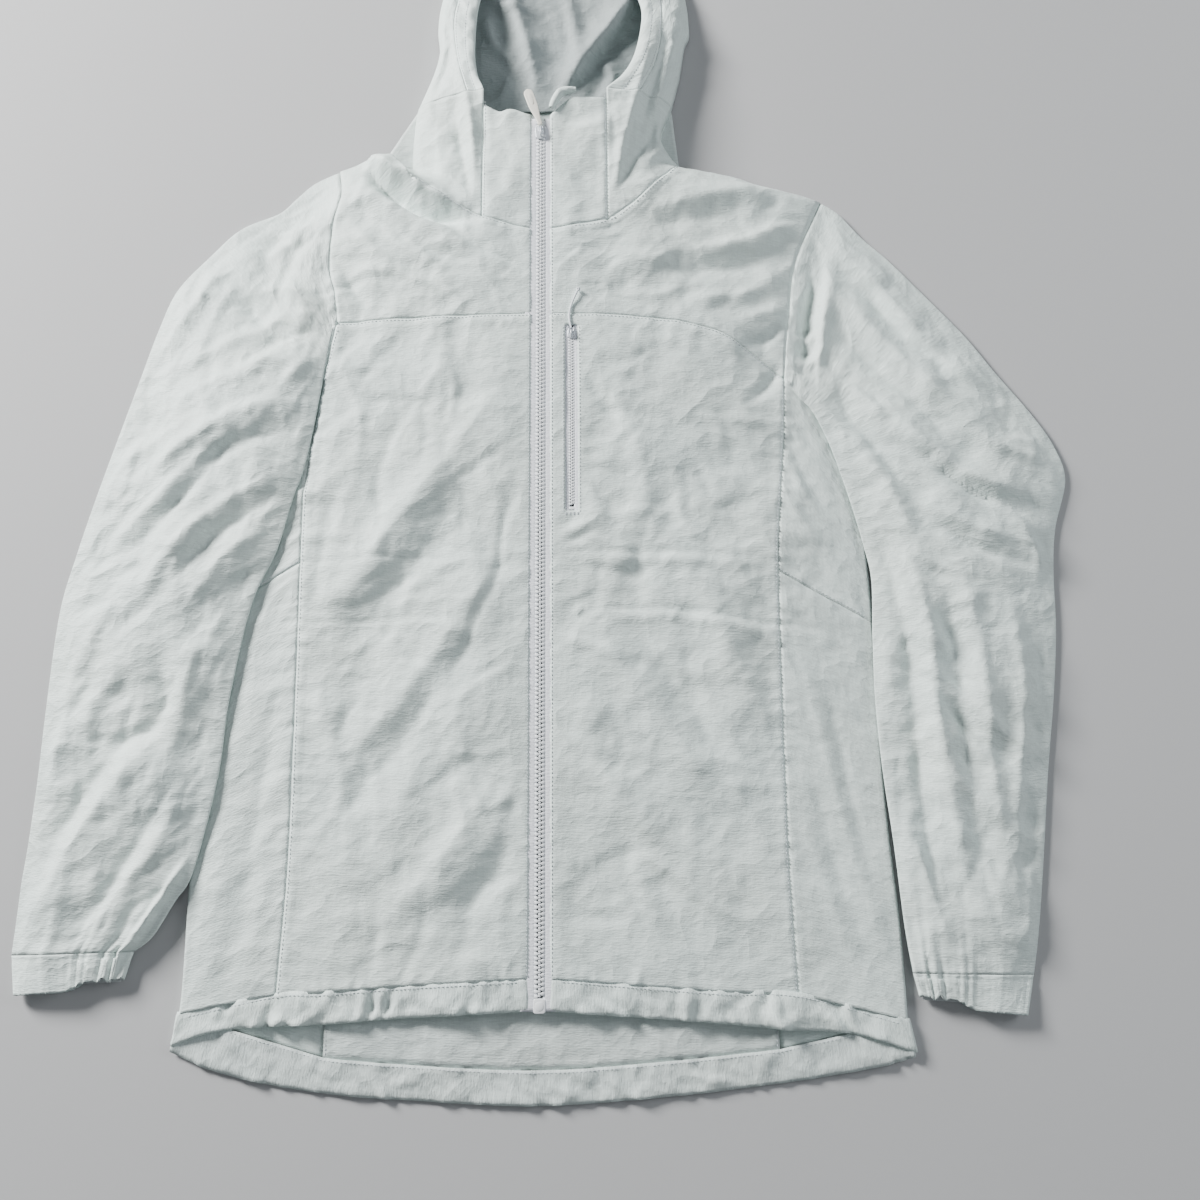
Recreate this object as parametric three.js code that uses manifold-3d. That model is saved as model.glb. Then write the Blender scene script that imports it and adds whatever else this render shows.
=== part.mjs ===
// A light hooded wind jacket, zipped to the collar and laid flat on its back.
// Millimetres, +Z up. The origin is under the bottom end of the main zip, on the surface
// that the jacket lies on. +X is towards the wearer's left and +Y towards the hood.
import * as THREE from 'three';
import { mergeVertices } from 'three/addons/utils/BufferGeometryUtils.js';
import Module from 'manifold-3d';

const wasm = await Module();
wasm.setup();

// Driving dimensions
const halfChest = 264;      // centre front to the folded side
const zipLength = 715;      // hem to the closed end of the main zip
const draftChest = 264;     // the half chest and the zip that the outlines are drafted at
const draftZip = 715;
const fabric = 1.2;         // one layer of cloth, with its seams
const seamGap = 0.4;        // between two panels sewn edge to edge
const layerGap = 0.3;       // between layers that lie on each other
const foldRoom = 0.6;       // between the front and the back hem at the folded side
const hemLoft = 11;         // height of the front at the hem
const collarLoft = 36;      // height of the front at the top of the collar
const flatHalf = 20;        // the front is flat this far each side of the main zip
const sleeveLoft = 15;      // fullness of a sleeve at the elbow
const cuffLoft = 8;         // fullness of a sleeve where the cuff is sewn on
const hemDepth = 22;        // front hem band
const cuffHeight = 10;
const elasticThickness = 0.8;
const swingLimit = 30;      // degrees that a sleeve opens
const hoodSplit = 750;      // where the hood bends back from the neck
const hoodSplitGap = 4;
const pocketX = 25;         // chest pocket zip
const pocketBottom = 376;
const pocketTop = 533;
const pocketDepth = 11;     // cloth of the front down to the pocket bag

const sideLoft = 4 * fabric + foldRoom;   // height of the folded side, over two hems
const widthGrade = halfChest / draftChest;
const lengthGrade = zipLength / draftZip;
const slope = (collarLoft - hemLoft) / zipLength;

// A zip, measured from its middle line and from the face of the cloth that its tape is under
const tapeThickness = 0.8;
const tapeFace = -fabric - layerGap;
const mainZip = {
  toothInner: 0.75, toothOuter: 3.6, toothTop: -0.6, toothBottom: -3.2,
  tapeInner: 4.8, tapeOuter: 14, tapeTop: tapeFace, tapeBottom: tapeFace - tapeThickness,
  show: 7.5, slider: 4.5, sliderLength: 11, plate: 1.2, running: 0.3, web: 0.45,
  axle: 1.0, bridge: 1.1,
};
const pocketZip = {
  toothInner: 0.6, toothOuter: 2.4, toothTop: -0.9, toothBottom: -2.9,
  tapeInner: 3.4, tapeOuter: 8, tapeTop: tapeFace, tapeBottom: tapeFace - tapeThickness,
  show: 5, slider: 3.1, sliderLength: 8, plate: 0.9, running: 0.3, web: 0.3,
  axle: 0.9, bridge: 0.9,
};

// ---- Points and curves in plan

const at = ([x, y]) => new THREE.Vector2(x * widthGrade, y * lengthGrade);
const line = (points, steps) => new THREE.SplineCurve(points).getSpacedPoints(steps);
const run = (points, steps) => line(points.map(at), steps);
const reverse = (points) => [...points].reverse();
const join = (first, second) => [...first, ...second.slice(1)];
const besideZip = (side, y) => new THREE.Vector2(side * mainZip.show, y * lengthGrade);

// height of a broken line above y, read as |x|
function reach(points, y) {
  const rows = points.map(at);
  if (y <= rows[0].y) return Math.abs(rows[0].x);
  for (let i = 1; i < rows.length; i += 1) {
    if (y <= rows[i].y) {
      const t = (y - rows[i - 1].y) / (rows[i].y - rows[i - 1].y);
      return Math.abs(rows[i - 1].x + t * (rows[i].x - rows[i - 1].x));
    }
  }
  return Math.abs(rows[rows.length - 1].x);
}

// ---- Outlines of the two halves. side -1 is the wearer's right, +1 the wearer's left

const right = {
  side: -1,
  name: 'right',
  sideSeamLow: [[-192, 13], [-188, 101], [-188, 200], [-189, 338]],
  sideSeamHigh: [[-189, 338], [-189, 395], [-180, 472], [-168, 541]],
  sideFoldLow: [[-263, 0], [-262, 30], [-263, 150], [-263, 296]],
  sideFoldHigh: [[-263, 296], [-261, 380], [-255, 470]],
  backSeamLow: [[-157, -31], [-157, 338]],
  backSeamHigh: [[-157, 338], [-157, 541]],
  yokeSeam: [[-168, 541], [-140, 542], [-23, 543]],
  yokeAtZip: 544,
  armhole: [[-168, 541], [-171, 568], [-177, 593], [-175, 632], [-170, 660], [-175, 692]],
  shoulder: [[-175, 692], [-152, 700], [-137, 705], [-122, 688], [-108, 664]],
  neckSide: [[-108, 664], [-97, 661], [-75, 646], [-49, 631]],
  neckFront: [[-49, 631], [-28, 624]],
  collarSeam: [[-49, 631], [-49, 738]],
  collarTop: [[-49, 738], [-36, 731], [-25, 731]],
  hoodNeckEdge: [[-108, 664], [-113, 696], [-112, 735], [-110, 748]],
  hoodNeckInner: [[-49, 631], [-49, 748]],
  outerReach: [[-262, 0], [-263, 296], [-255, 470], [-250, 560], [-226, 652], [-197, 681], [-175, 692],
    [-150, 701], [-136, 707]],
  hemEdge: [[-98, -4], [-158, -8], [-198, -9], [-238, -13], [-266, -22]],
  hemSeam: [[-98, 18], [-158, 14]],
  hemAtZip: 0,
  pivot: [-247, 556],
  headRadius: 71,
  headFrom: 0,
  headTo: 176.8,
  capFrom: 4,
  capTo: 112,
  capEdge: [[-175, 692], [-197, 681], [-212, 667], [-226, 652], [-258, 638]],
  sleeveOuter: [[-333, 500], [-346, 451], [-359, 401], [-376, 332], [-381, 302], [-383, 202], [-386, 123],
    [-390, 42]],
  sleeveInner: [[-175, 545], [-173, 520], [-179, 476], [-188, 421], [-198, 387], [-208, 348], [-219, 323],
    [-226, 304], [-239, 230], [-244, 171], [-258, 102], [-270, 80], [-285, 55], [-299, 44]],
  cuffEnd: [[-384, 14], [-304, 18]],
  fullElbow: 0.45,
};

const left = {
  side: 1,
  name: 'left',
  sideSeamLow: [[189, 10], [186, 98], [186, 197], [187, 328]],
  sideSeamHigh: [[187, 328], [190, 373], [196, 431], [199, 491]],
  sideFoldLow: [[268, -9], [262, 58], [253, 150], [258, 287]],
  sideFoldHigh: [[258, 287], [258, 350], [252, 430]],
  backSeamLow: [[174, -28], [174, 328]],
  backSeamHigh: [[174, 328], [174, 491]],
  yokeSeam: [[199, 491], [174, 511], [147, 527], [110, 538], [66, 542], [23, 543]],
  yokeAtZip: 544,
  armhole: [[199, 491], [202, 522], [207, 556], [210, 581], [218, 610], [239, 659]],
  shoulder: [[239, 659], [222, 665], [185, 674], [165, 683], [119, 691]],
  neckSide: [[119, 691], [100, 668], [82, 648], [56, 627]],
  neckFront: [[56, 627], [28, 621]],
  collarSeam: [[56, 627], [56, 744]],
  collarTop: [[56, 744], [31, 744], [20, 738]],
  hoodNeckEdge: [[119, 691], [106, 712], [104, 727], [113, 748]],
  hoodNeckInner: [[56, 627], [56, 748]],
  outerReach: [[268, -9], [262, 58], [253, 150], [258, 287], [258, 350], [252, 430], [250, 560], [239, 659],
    [222, 666], [185, 675], [165, 684], [120, 692]],
  hemEdge: [[99, -7], [138, -10], [177, -14], [229, -18], [272, -31]],
  hemSeam: [[99, 15], [138, 12]],
  hemAtZip: 0,
  pivot: [283, 533],
  headRadius: 57,
  headFrom: 180,
  headTo: 35,
  capFrom: 178,
  capTo: 68,
  capEdge: [[239, 659], [254, 648], [274, 624], [294, 604]],
  sleeveOuter: [[353, 534], [377, 499], [402, 464], [416, 442], [425, 408], [413, 365], [409, 335],
    [407, 295], [400, 236], [391, 186], [384, 146], [377, 97], [368, 47], [363, 22]],
  sleeveInner: [[226, 518], [222, 482], [231, 447], [241, 413], [250, 378], [259, 339], [261, 314],
    [259, 275], [258, 226], [261, 166], [265, 117], [269, 58], [273, 24]],
  cuffEnd: [[355, -6], [277, 1]],
  fullElbow: 0.35,
};

// Hood, drafted as one outline from the wearer's right round the top to the left
const hoodEdge = [[-110, 752], [-97, 785], [-92, 809], [-94, 834], [-91, 863], [-80, 905], [-50, 944],
  [0, 964], [55, 958], [100, 925], [125, 880], [131, 832], [126, 813], [121, 783], [113, 752]];
const brimSeam = [[-63, 752], [-72, 784], [-77, 820], [-75, 851], [-66, 890], [-42, 920], [0, 934],
  [46, 930], [84, 903], [103, 865], [106, 832], [100, 790], [84, 752]];
const hoodRim = [[-49, 752], [-55, 769], [-58, 798], [-56, 846], [-47, 876], [-26, 899], [4, 908],
  [38, 903], [68, 884], [86, 850], [86, 816], [76, 778], [57, 752]];
const backNeck = [[-137, 705], [-100, 692], [-40, 687], [20, 686], [80, 689], [119, 691]];
const tailSeam = [[-157, -31], [-100, -36], [-1, -41], [99, -35], [174, -28]];
const tailEdge = [[-268, -26], [-240, -38], [-200, -48], [-149, -56], [-100, -60], [-1, -65], [99, -59],
  [149, -54], [199, -48], [249, -40], [272, -34]];

// ---- Height of the cloth

const centreTop = (y) => hemLoft + slope * Math.min(Math.max(y, 0), zipLength * 1.05);

// the front, flat beside the zip and falling as a parabola to the folded side
function frontTop(x, y) {
  const half = reach(x < 0 ? right.outerReach : left.outerReach, y);
  const s = Math.min(1, Math.max(0, (Math.abs(x) - flatHalf) / (half - flatHalf)));
  return sideLoft + (centreTop(y) - sideLoft) * (1 - s * s);
}

// what a sleeve lies over: the torso, with a ledge and a ramp past its outline, else the ground
const ledge = 14;
const ramp = 40;
function ground(half, x, y) {
  const [armpit, fold] = [at(half.sideSeamHigh.at(-1)), at(half.sideFoldHigh.at(-1))];
  const across = Math.max(0, Math.abs(x) - Math.abs(armpit.x));
  const rise = (armpit.y - fold.y) / (Math.abs(fold.x) - Math.abs(armpit.x));
  const out = Math.max(0, Math.abs(x) - reach(half.outerReach, y), y - (armpit.y - across * rise));
  return frontTop(x, Math.min(y, armpit.y)) * Math.min(1, Math.max(0, 1 - (out - ledge) / ramp));
}

// the highest ground that a point of a sleeve passes over as the sleeve opens
function sleeveBase(half, x, y) {
  const pivot = at(half.pivot);
  let highest = 0;
  for (let turn = 0; turn <= swingLimit; turn += 5) {
    const angle = half.side * THREE.MathUtils.degToRad(turn);
    const [dx, dy] = [x - pivot.x, y - pivot.y];
    const px = pivot.x + dx * Math.cos(angle) - dy * Math.sin(angle);
    const py = pivot.y + dx * Math.sin(angle) + dy * Math.cos(angle);
    highest = Math.max(highest, ground(half, px, py));
  }
  return highest + 3 * layerGap * Math.min(1, highest / 2);
}

// the hood, from its outer edge up to the rim of its opening
const hoodRise = (y) => centreTop(y) - Math.max(0, y - hoodSplit * lengthGrade) * 0.14;

// ---- Closed solids

// a slab between two grids of points, given as rows of equal length
function slab(outer, inner, wrap = false) {
  const rows = outer.length;
  const columns = outer[0].length;
  const points = [...outer.flat(), ...inner.flat()];
  const index = [];
  const quad = (a, b, c, d) => index.push(a, b, c, a, c, d);
  const o = (i, j) => i * columns + (j % columns);
  const n = (i, j) => rows * columns + i * columns + (j % columns);
  const last = wrap ? columns : columns - 1;
  for (let i = 0; i < rows - 1; i += 1) {
    for (let j = 0; j < last; j += 1) {
      quad(o(i, j), o(i, j + 1), o(i + 1, j + 1), o(i + 1, j));
      quad(n(i, j), n(i + 1, j), n(i + 1, j + 1), n(i, j + 1));
    }
  }
  for (let j = 0; j < last; j += 1) {
    quad(o(0, j), n(0, j), n(0, j + 1), o(0, j + 1));
    quad(o(rows - 1, j), o(rows - 1, j + 1), n(rows - 1, j + 1), n(rows - 1, j));
  }
  if (!wrap) {
    for (let i = 0; i < rows - 1; i += 1) {
      quad(o(i, 0), o(i + 1, 0), n(i + 1, 0), n(i, 0));
      quad(o(i, last), n(i, last), n(i + 1, last), o(i + 1, last));
    }
  }
  const geometry = new THREE.BufferGeometry().setFromPoints(points);
  geometry.setIndex(volume(points, index) < 0 ? flip(index) : index);
  return geometry;
}

// six times the signed volume inside the faces
function volume(points, index) {
  let sum = 0;
  const normal = new THREE.Vector3();
  for (let i = 0; i < index.length; i += 3) {
    normal.crossVectors(points[index[i + 1]], points[index[i + 2]]);
    sum += points[index[i]].dot(normal);
  }
  return sum;
}

function flip(index) {
  const flipped = [];
  for (let i = 0; i < index.length; i += 3) flipped.push(index[i], index[i + 2], index[i + 1]);
  return flipped;
}

// a Coons patch in plan between four sampled edges, set back from them by half a seam gap
function plan(south, east, north, west) {
  const columns = south.length - 1;
  const rows = west.length - 1;
  const grid = west.map((w, j) => south.map((s, i) => {
    const [u, v] = [i / columns, j / rows];
    const point = new THREE.Vector2();
    point.addScaledVector(s, 1 - v).addScaledVector(north[i], v);
    point.addScaledVector(w, 1 - u).addScaledVector(east[j], u);
    point.addScaledVector(south[0], -(1 - u) * (1 - v)).addScaledVector(south[columns], -u * (1 - v));
    point.addScaledVector(north[0], -(1 - u) * v).addScaledVector(north[columns], -u * v);
    return point;
  }));
  const pull = (point, towards) => point.addScaledVector(towards.clone().sub(point).normalize(), seamGap / 2);
  const before = grid.map((row) => row.map((point) => point.clone()));
  for (let j = 0; j <= rows; j += 1) {
    pull(grid[j][0], before[j][1]);
    pull(grid[j][columns], before[j][columns - 1]);
  }
  for (let i = 0; i <= columns; i += 1) {
    pull(grid[0][i], before[1][i]);
    pull(grid[rows][i], before[rows - 1][i]);
  }
  return grid;
}

// a layer of cloth over a plan grid, with its upper face at top(x, y, u, v)
function cloth(grid, top, thickness = fabric) {
  const rows = grid.length - 1;
  const columns = grid[0].length - 1;
  const upper = grid.map((row, j) => row.map((p, i) => new THREE.Vector3(
    p.x, p.y, top(p.x, p.y, i / columns, j / rows),
  )));
  const lower = upper.map((row) => row.map((p) => new THREE.Vector3(p.x, p.y, p.z - thickness)));
  return slab(upper, lower);
}

const box = (x0, x1, y0, y1, z0, z1) => new THREE.BoxGeometry(x1 - x0, y1 - y0, z1 - z0)
  .translate((x0 + x1) / 2, (y0 + y1) / 2, (z0 + z1) / 2);

function solid(geometry) {
  const bare = new THREE.BufferGeometry();
  bare.setAttribute('position', geometry.getAttribute('position'));
  bare.setIndex(geometry.getIndex());
  const merged = mergeVertices(bare, 1e-4);
  return new wasm.Manifold(new wasm.Mesh({
    numProp: 3,
    vertProperties: new Float32Array(merged.getAttribute('position').array),
    triVerts: new Uint32Array(merged.getIndex().array),
  }));
}

function geometryOf(manifold) {
  const mesh = manifold.getMesh();
  const geometry = new THREE.BufferGeometry();
  geometry.setAttribute('position', new THREE.BufferAttribute(mesh.vertProperties, 3));
  geometry.setIndex(new THREE.BufferAttribute(mesh.triVerts, 1));
  return geometry;
}

const unite = (...parts) => geometryOf(parts.map(solid).reduce((sum, part) => sum.add(part)));
const cut = (body, ...tools) => geometryOf(tools.map(solid).reduce((sum, tool) => sum.subtract(tool), solid(body)));

// ---- Materials

const finish = (name, color, roughness, metalness = 0) => {
  const material = new THREE.MeshStandardMaterial({ color, roughness, metalness });
  material.name = name;
  return material;
};
const shell = () => finish('shell_fabric', 0xd6dbdc, 0.62);
const lining = () => finish('mesh_fabric', 0xc9cfd1, 0.8);
const tapeCloth = () => finish('zip_tape', 0xe6eaf0, 0.75);
const toothPlastic = () => finish('zip_plastic', 0xf1f3f6, 0.35);
const sliderMetal = () => finish('painted_slider', 0xd9dcdf, 0.4, 0.3);
const pullCloth = () => finish('pull_cord', 0xe9e2d0, 0.8);
const elastic = () => finish('elastic', 0xdcdfdf, 0.85);

const jacket = new THREE.Group();
jacket.name = 'wind_jacket';
const zipPlane = new THREE.Group();
zipPlane.position.z = hemLoft;
zipPlane.rotation.x = Math.atan(slope);
jacket.add(zipPlane);

function add(group, name, geometry, material) {
  const mesh = new THREE.Mesh(geometry, material);
  mesh.name = name;
  group.add(mesh);
  return mesh;
}

// ---- Torso

const lowSteps = 6;
const highSteps = 4;
const acrossSteps = 8;
const armholeSteps = 6;
const neckSteps = 3;
const sideSteps = 3;
const backNeckSteps = 5;

const frontHemSeam = (half) => line([besideZip(half.side, half.hemAtZip).add(new THREE.Vector2(0, hemDepth)),
  ...half.hemSeam.map(at), at(half.sideSeamLow[0])], acrossSteps);

function frontPanels(half) {
  const { side } = half;
  const hemSeam = frontHemSeam(half);
  const yokeSeam = line([besideZip(side, half.yokeAtZip), ...reverse(half.yokeSeam).map(at)], acrossSteps);
  const sideSeam = join(run(half.sideSeamLow, lowSteps), run(half.sideSeamHigh, highSteps));
  const zipEdge = line([hemSeam[0], yokeSeam[0]], lowSteps + highSteps);
  let panel = cloth(plan(hemSeam, sideSeam, yokeSeam, zipEdge), frontTop);
  if (side > 0) {
    const slot = box(pocketX - pocketZip.show, pocketX + pocketZip.show, pocketBottom * lengthGrade,
      pocketTop * lengthGrade, 0, 2 * collarLoft);
    panel = cut(panel, slot);
  }
  add(jacket, `front_panel_${half.name}`, panel, shell());

  const neckMiddle = besideZip(side, 619);
  const north = join(line([neckMiddle, ...reverse(half.neckFront).map(at)], 2), join(
    reverse(run(half.neckSide, neckSteps)), reverse(run(half.shoulder, acrossSteps - neckSteps - 2))));
  const zipEnd = line([yokeSeam[0], north[0]], armholeSteps);
  const yoke = plan(yokeSeam, run(half.armhole, armholeSteps), north, zipEnd);
  add(jacket, `front_yoke_${half.name}`, cloth(yoke, frontTop), shell());

  const collarBase = north.slice(0, 3);
  const collarEnd = besideZip(side, 726);
  const collarTop = line([collarEnd, ...reverse(half.collarTop).map(at)], 2);
  const collarSteps = 4;
  const collar = plan(collarBase, run(half.collarSeam, collarSteps), collarTop,
    line([collarBase[0], collarEnd], collarSteps));
  add(jacket, `collar_${half.name}`, cloth(collar, frontTop), shell());
}

// the side, from the front seam round the fold to the back seam, as a U in section
function sidePanel(name, half, front, fold, back, steps) {
  const [fronts, folds, backs] = [run(front, steps), run(fold, steps), run(back, steps)];
  const [outer, inner] = [[], []];
  const radius = sideLoft / 2;
  for (let j = 0; j <= steps; j += 1) {
    const inward = (j === 0 ? 1 : 0) - (j === steps ? 1 : 0);
    const set = (point, aside) => new THREE.Vector2(
      point.x + aside * half.side * seamGap / 2, point.y + inward * seamGap / 2);
    const [f, e, b] = [set(fronts[j], 1), set(folds[j], 0), set(backs[j], 1)];
    const onLine = (from, x) => from.y + (x - from.x) / (e.x - from.x) * (e.y - from.y);
    const centre = e.x - half.side * radius;
    const [o, n] = [[], []];
    for (let i = 0; i <= sideSteps; i += 1) {
      const x = f.x + (centre - f.x) * i / sideSteps;
      const y = onLine(f, x);
      const z = i === sideSteps ? sideLoft : frontTop(x, y);
      o.push(new THREE.Vector3(x, y, z));
      n.push(new THREE.Vector3(x, y, z - fabric));
    }
    for (const degrees of [45, 0, -45]) {
      const angle = THREE.MathUtils.degToRad(degrees);
      const y = onLine(degrees > 0 ? f : b, centre + half.side * radius * Math.cos(angle));
      for (const [list, r] of [[o, radius], [n, radius - fabric]]) {
        list.push(new THREE.Vector3(centre + half.side * r * Math.cos(angle), y, radius + r * Math.sin(angle)));
      }
    }
    for (let i = 0; i <= sideSteps; i += 1) {
      const x = centre + (b.x - centre) * i / sideSteps;
      o.push(new THREE.Vector3(x, onLine(b, x), 0));
      n.push(new THREE.Vector3(x, onLine(b, x), fabric));
    }
    outer.push(o);
    inner.push(n);
  }
  add(jacket, name, slab(outer, inner), shell());
}

function back() {
  const flat = () => fabric;
  const middle = run(tailSeam, 6);
  const backSeams = (half) => join(run(half.backSeamLow, lowSteps), run(half.backSeamHigh, highSteps));
  const north = line([at(right.backSeamHigh[1]), at([-60, 545]), at([80, 536]), at(left.backSeamHigh[1])], 6);
  add(jacket, 'back_panel', cloth(plan(middle, backSeams(left), north, backSeams(right)), flat), shell());

  const seam = [at(right.armhole[0]), ...north, at(left.armhole[0])];
  const neckLine = join(join(run(right.shoulder.slice(0, 3), 1), run(backNeck, backNeckSteps)),
    reverse(run(left.shoulder, 2)));
  const yoke = plan(seam, run(left.armhole, armholeSteps), neckLine, run(right.armhole, armholeSteps));
  add(jacket, 'back_yoke', cloth(yoke, flat), shell());

  const sideTurn = (half) => run([half.sideFoldLow[0], half.backSeamLow[0]], sideSteps);
  const bandTop = join(join(sideTurn(right), middle), reverse(sideTurn(left)));
  const steps = bandTop.length - 1;
  const edge = run(tailEdge, steps);
  const band = plan(edge, [edge[steps], bandTop[steps]], bandTop, [edge[0], bandTop[0]]);
  add(jacket, 'hem_band_back', cloth(band, () => 2 * fabric, 2 * fabric), shell());
}

// the folded band under the front panel and the side, clear of the zip tape
function frontHem(half) {
  const start = half.side * (mainZip.tapeOuter + 1);
  const panelSeam = frontHemSeam(half);
  const share = (start - panelSeam[0].x) / (panelSeam[1].x - panelSeam[0].x);
  const seam = join([panelSeam[0].clone().lerp(panelSeam[1], share), ...panelSeam.slice(1)],
    run([half.sideSeamLow[0], half.sideFoldLow[0]], sideSteps));
  const steps = seam.length - 1;
  const edge = line([new THREE.Vector2(start, half.hemAtZip), ...half.hemEdge.map(at)], steps);
  const band = plan(edge, [edge[steps], seam[steps]], seam, [edge[0], seam[0]]);
  add(jacket, `hem_band_front_${half.name}`, cloth(band, frontTop, 2 * fabric), shell());
}

// ---- Sleeves

const onCircle = (half, degrees, radius) => {
  const angle = THREE.MathUtils.degToRad(degrees);
  const pivot = at(half.pivot);
  return new THREE.Vector2(pivot.x + radius * Math.cos(angle), pivot.y + radius * Math.sin(angle));
};
const arc = (half, from, to, radius, steps) => Array.from({ length: steps + 1 }, (_, i) => onCircle(
  half, from + (to - from) * i / steps, radius));

// the part of the sleeve that stays with the shoulder, as a ribbon round the turning head
function sleeveCap(half) {
  const steps = 11;
  const turn = Math.abs(half.capTo - half.capFrom) / steps / 2;
  const radius = half.headRadius * widthGrade;
  const clear = (radius + seamGap) / Math.cos(THREE.MathUtils.degToRad(turn));
  const inner = arc(half, half.capFrom, half.capTo, clear, steps);
  const tip = onCircle(half, half.capTo, radius + 6);
  const shoulder = line([...half.capEdge.map(at), tip], steps - armholeSteps);
  const outer = join(run(half.armhole, armholeSteps), shoulder);
  const ends = [line([outer[0], inner[0]], 2), line([outer[steps], inner[steps]], 2)];
  const grid = plan(outer, ends[1], inner, ends[0]);
  const headTop = sideLoft + sleeveLoft * 0.8;
  const top = (x, y, u, v) => {
    const rim = sideLoft + (headTop - sideLoft) * Math.sin(Math.PI * Math.min(1, 0.25 + 0.75 * u));
    return frontTop(x, y) * (1 - v) + rim * v;
  };
  add(jacket, `sleeve_cap_${half.name}`, cloth(grid, top), shell());
  add(jacket, `sleeve_cap_back_${half.name}`, cloth(grid, () => fabric), shell());
}

function sleeve(half) {
  const [headSteps, armSteps] = [8, Math.round(12 * lengthGrade)];
  const radius = half.headRadius * widthGrade;
  const head = arc(half, half.headFrom, half.headTo, radius, headSteps);
  const inner = line([head[0], ...half.sleeveInner.map(at)], armSteps);
  const outer = line([head[headSteps], ...half.sleeveOuter.map(at)], armSteps);
  const grid = plan(head, outer, line([inner[armSteps], outer[armSteps]], headSteps), inner);
  const base = (x, y) => sleeveBase(half, x, y);
  const full = (u, v) => {
    const loft = v < half.fullElbow ? sleeveLoft : sleeveLoft + (cuffLoft - sleeveLoft)
      * (v - half.fullElbow) / (1 - half.fullElbow);
    return loft * 4 * u * (1 - u) * Math.min(1, 0.3 + 3 * v);
  };
  add(jacket, `sleeve_under_${half.name}`, cloth(grid, (x, y) => base(x, y) + fabric), shell());
  add(jacket, `sleeve_upper_${half.name}`, cloth(grid, (x, y, u, v) => (
    base(x, y) + 2 * fabric + layerGap + full(u, v))), shell());
  cuff(half, inner[armSteps], outer[armSteps]);
}

// a flattened ring, with its elastic lying in the lower half
function cuff(half, sewnInner, sewnOuter) {
  const around = 16;
  const [endOuter, endInner] = half.cuffEnd.map(at);
  const ring = (a, b, inset, from = 0, count = around, span = 360) => Array.from({ length: count }, (_, k) => {
    const angle = THREE.MathUtils.degToRad(from + span * k / (span === 360 ? count : count - 1));
    const width = a.distanceTo(b) / 2 - inset;
    const middle = a.clone().add(b).multiplyScalar(0.5);
    const along = b.clone().sub(a).normalize().multiplyScalar(width * Math.cos(angle));
    const z = cuffHeight / 2 + (cuffHeight / 2 - inset) * Math.sin(angle);
    return new THREE.Vector3(middle.x + along.x, middle.y + along.y, z);
  });
  const shift = new THREE.Vector2(0, -seamGap);
  const [a, b] = [sewnInner.clone().add(shift), sewnOuter.clone().add(shift)];
  const wall = fabric;
  const rings = [0, 0.5, 1].map((t) => [a.clone().lerp(endInner, t), b.clone().lerp(endOuter, t)]);
  const outer = rings.map(([p, q]) => ring(p, q, 0));
  const inner = rings.map(([p, q]) => ring(p, q, wall));
  add(jacket, `cuff_${half.name}`, slab(outer, inner, true), shell());

  const under = wall + layerGap;
  const bands = [0.2, 0.8].map((t) => [a.clone().lerp(endInner, t), b.clone().lerp(endOuter, t)]);
  add(jacket, `cuff_elastic_${half.name}`, slab(
    bands.map(([p, q]) => ring(p, q, under, 200, 7, 140)),
    bands.map(([p, q]) => ring(p, q, under + elasticThickness, 200, 7, 140)),
  ), elastic());
}

// ---- Hood

function hoodNeck(half) {
  const down = 4;
  const south = run(half.neckSide, neckSteps);
  const edge = run(half.hoodNeckEdge, down);
  const inner = run(half.hoodNeckInner, down);
  const grid = plan(south, inner, line([edge[down], inner[down]], neckSteps), edge);
  const top = (x, y, u) => sideLoft + (frontTop(inner[0].x, y) - sideLoft) * Math.sqrt(Math.max(u, 0.02));
  add(jacket, `hood_neck_${half.name}`, cloth(grid, top), shell());
}

function hoodNeckBack() {
  const steps = backNeckSteps;
  const south = run(backNeck, steps);
  const [west, east] = [at([-110, hoodSplit - hoodSplitGap / 2]), at([113, hoodSplit - hoodSplitGap / 2])];
  const grid = plan(south, line([south[steps], east], 3), line([west, east], steps), line([south[0], west], 3));
  add(jacket, 'hood_neck_back', cloth(grid, () => fabric), shell());
}

function hoodCrown() {
  const steps = 24;
  const [edge, seam, rim] = [run(hoodEdge, steps), run(brimSeam, steps), run(hoodRim, steps)];
  const seamShare = 0.62;
  const topAt = (share) => (x, y) => sideLoft + (hoodRise(y) - sideLoft) * Math.sqrt(share);
  const ribbon = (name, outer, inner, from, to, fromShare, toShare) => {
    const [a, b] = [outer.slice(from, to + 1), inner.slice(from, to + 1)];
    const ends = [line([a[0], b[0]], 2), line([a.at(-1), b.at(-1)], 2)];
    const grid = plan(a, ends[1], b, ends[0]);
    const top = (x, y, u, v) => topAt(fromShare + (toShare - fromShare) * v)(x, y);
    add(jacket, name, cloth(grid, top), shell());
  };
  const [firstSeam, secondSeam] = [10, 14];
  ribbon('hood_side_right', edge, seam, 0, firstSeam, 0, seamShare);
  ribbon('hood_centre_top', edge, seam, firstSeam, secondSeam, 0, seamShare);
  ribbon('hood_side_left', edge, seam, secondSeam, steps, 0, seamShare);
  ribbon('hood_brim', seam, rim, 0, steps, seamShare, 1);

  const half = steps / 2;
  const [west, east] = [edge.slice(0, half - 2), reverse(edge).slice(0, half - 2)];
  const north = edge.slice(half - 3, half + 4);
  const grid = plan(line([west[0], east[0]], 6), east, north, west);
  add(jacket, 'hood_crown_back', cloth(grid, () => fabric), shell());
}

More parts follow.
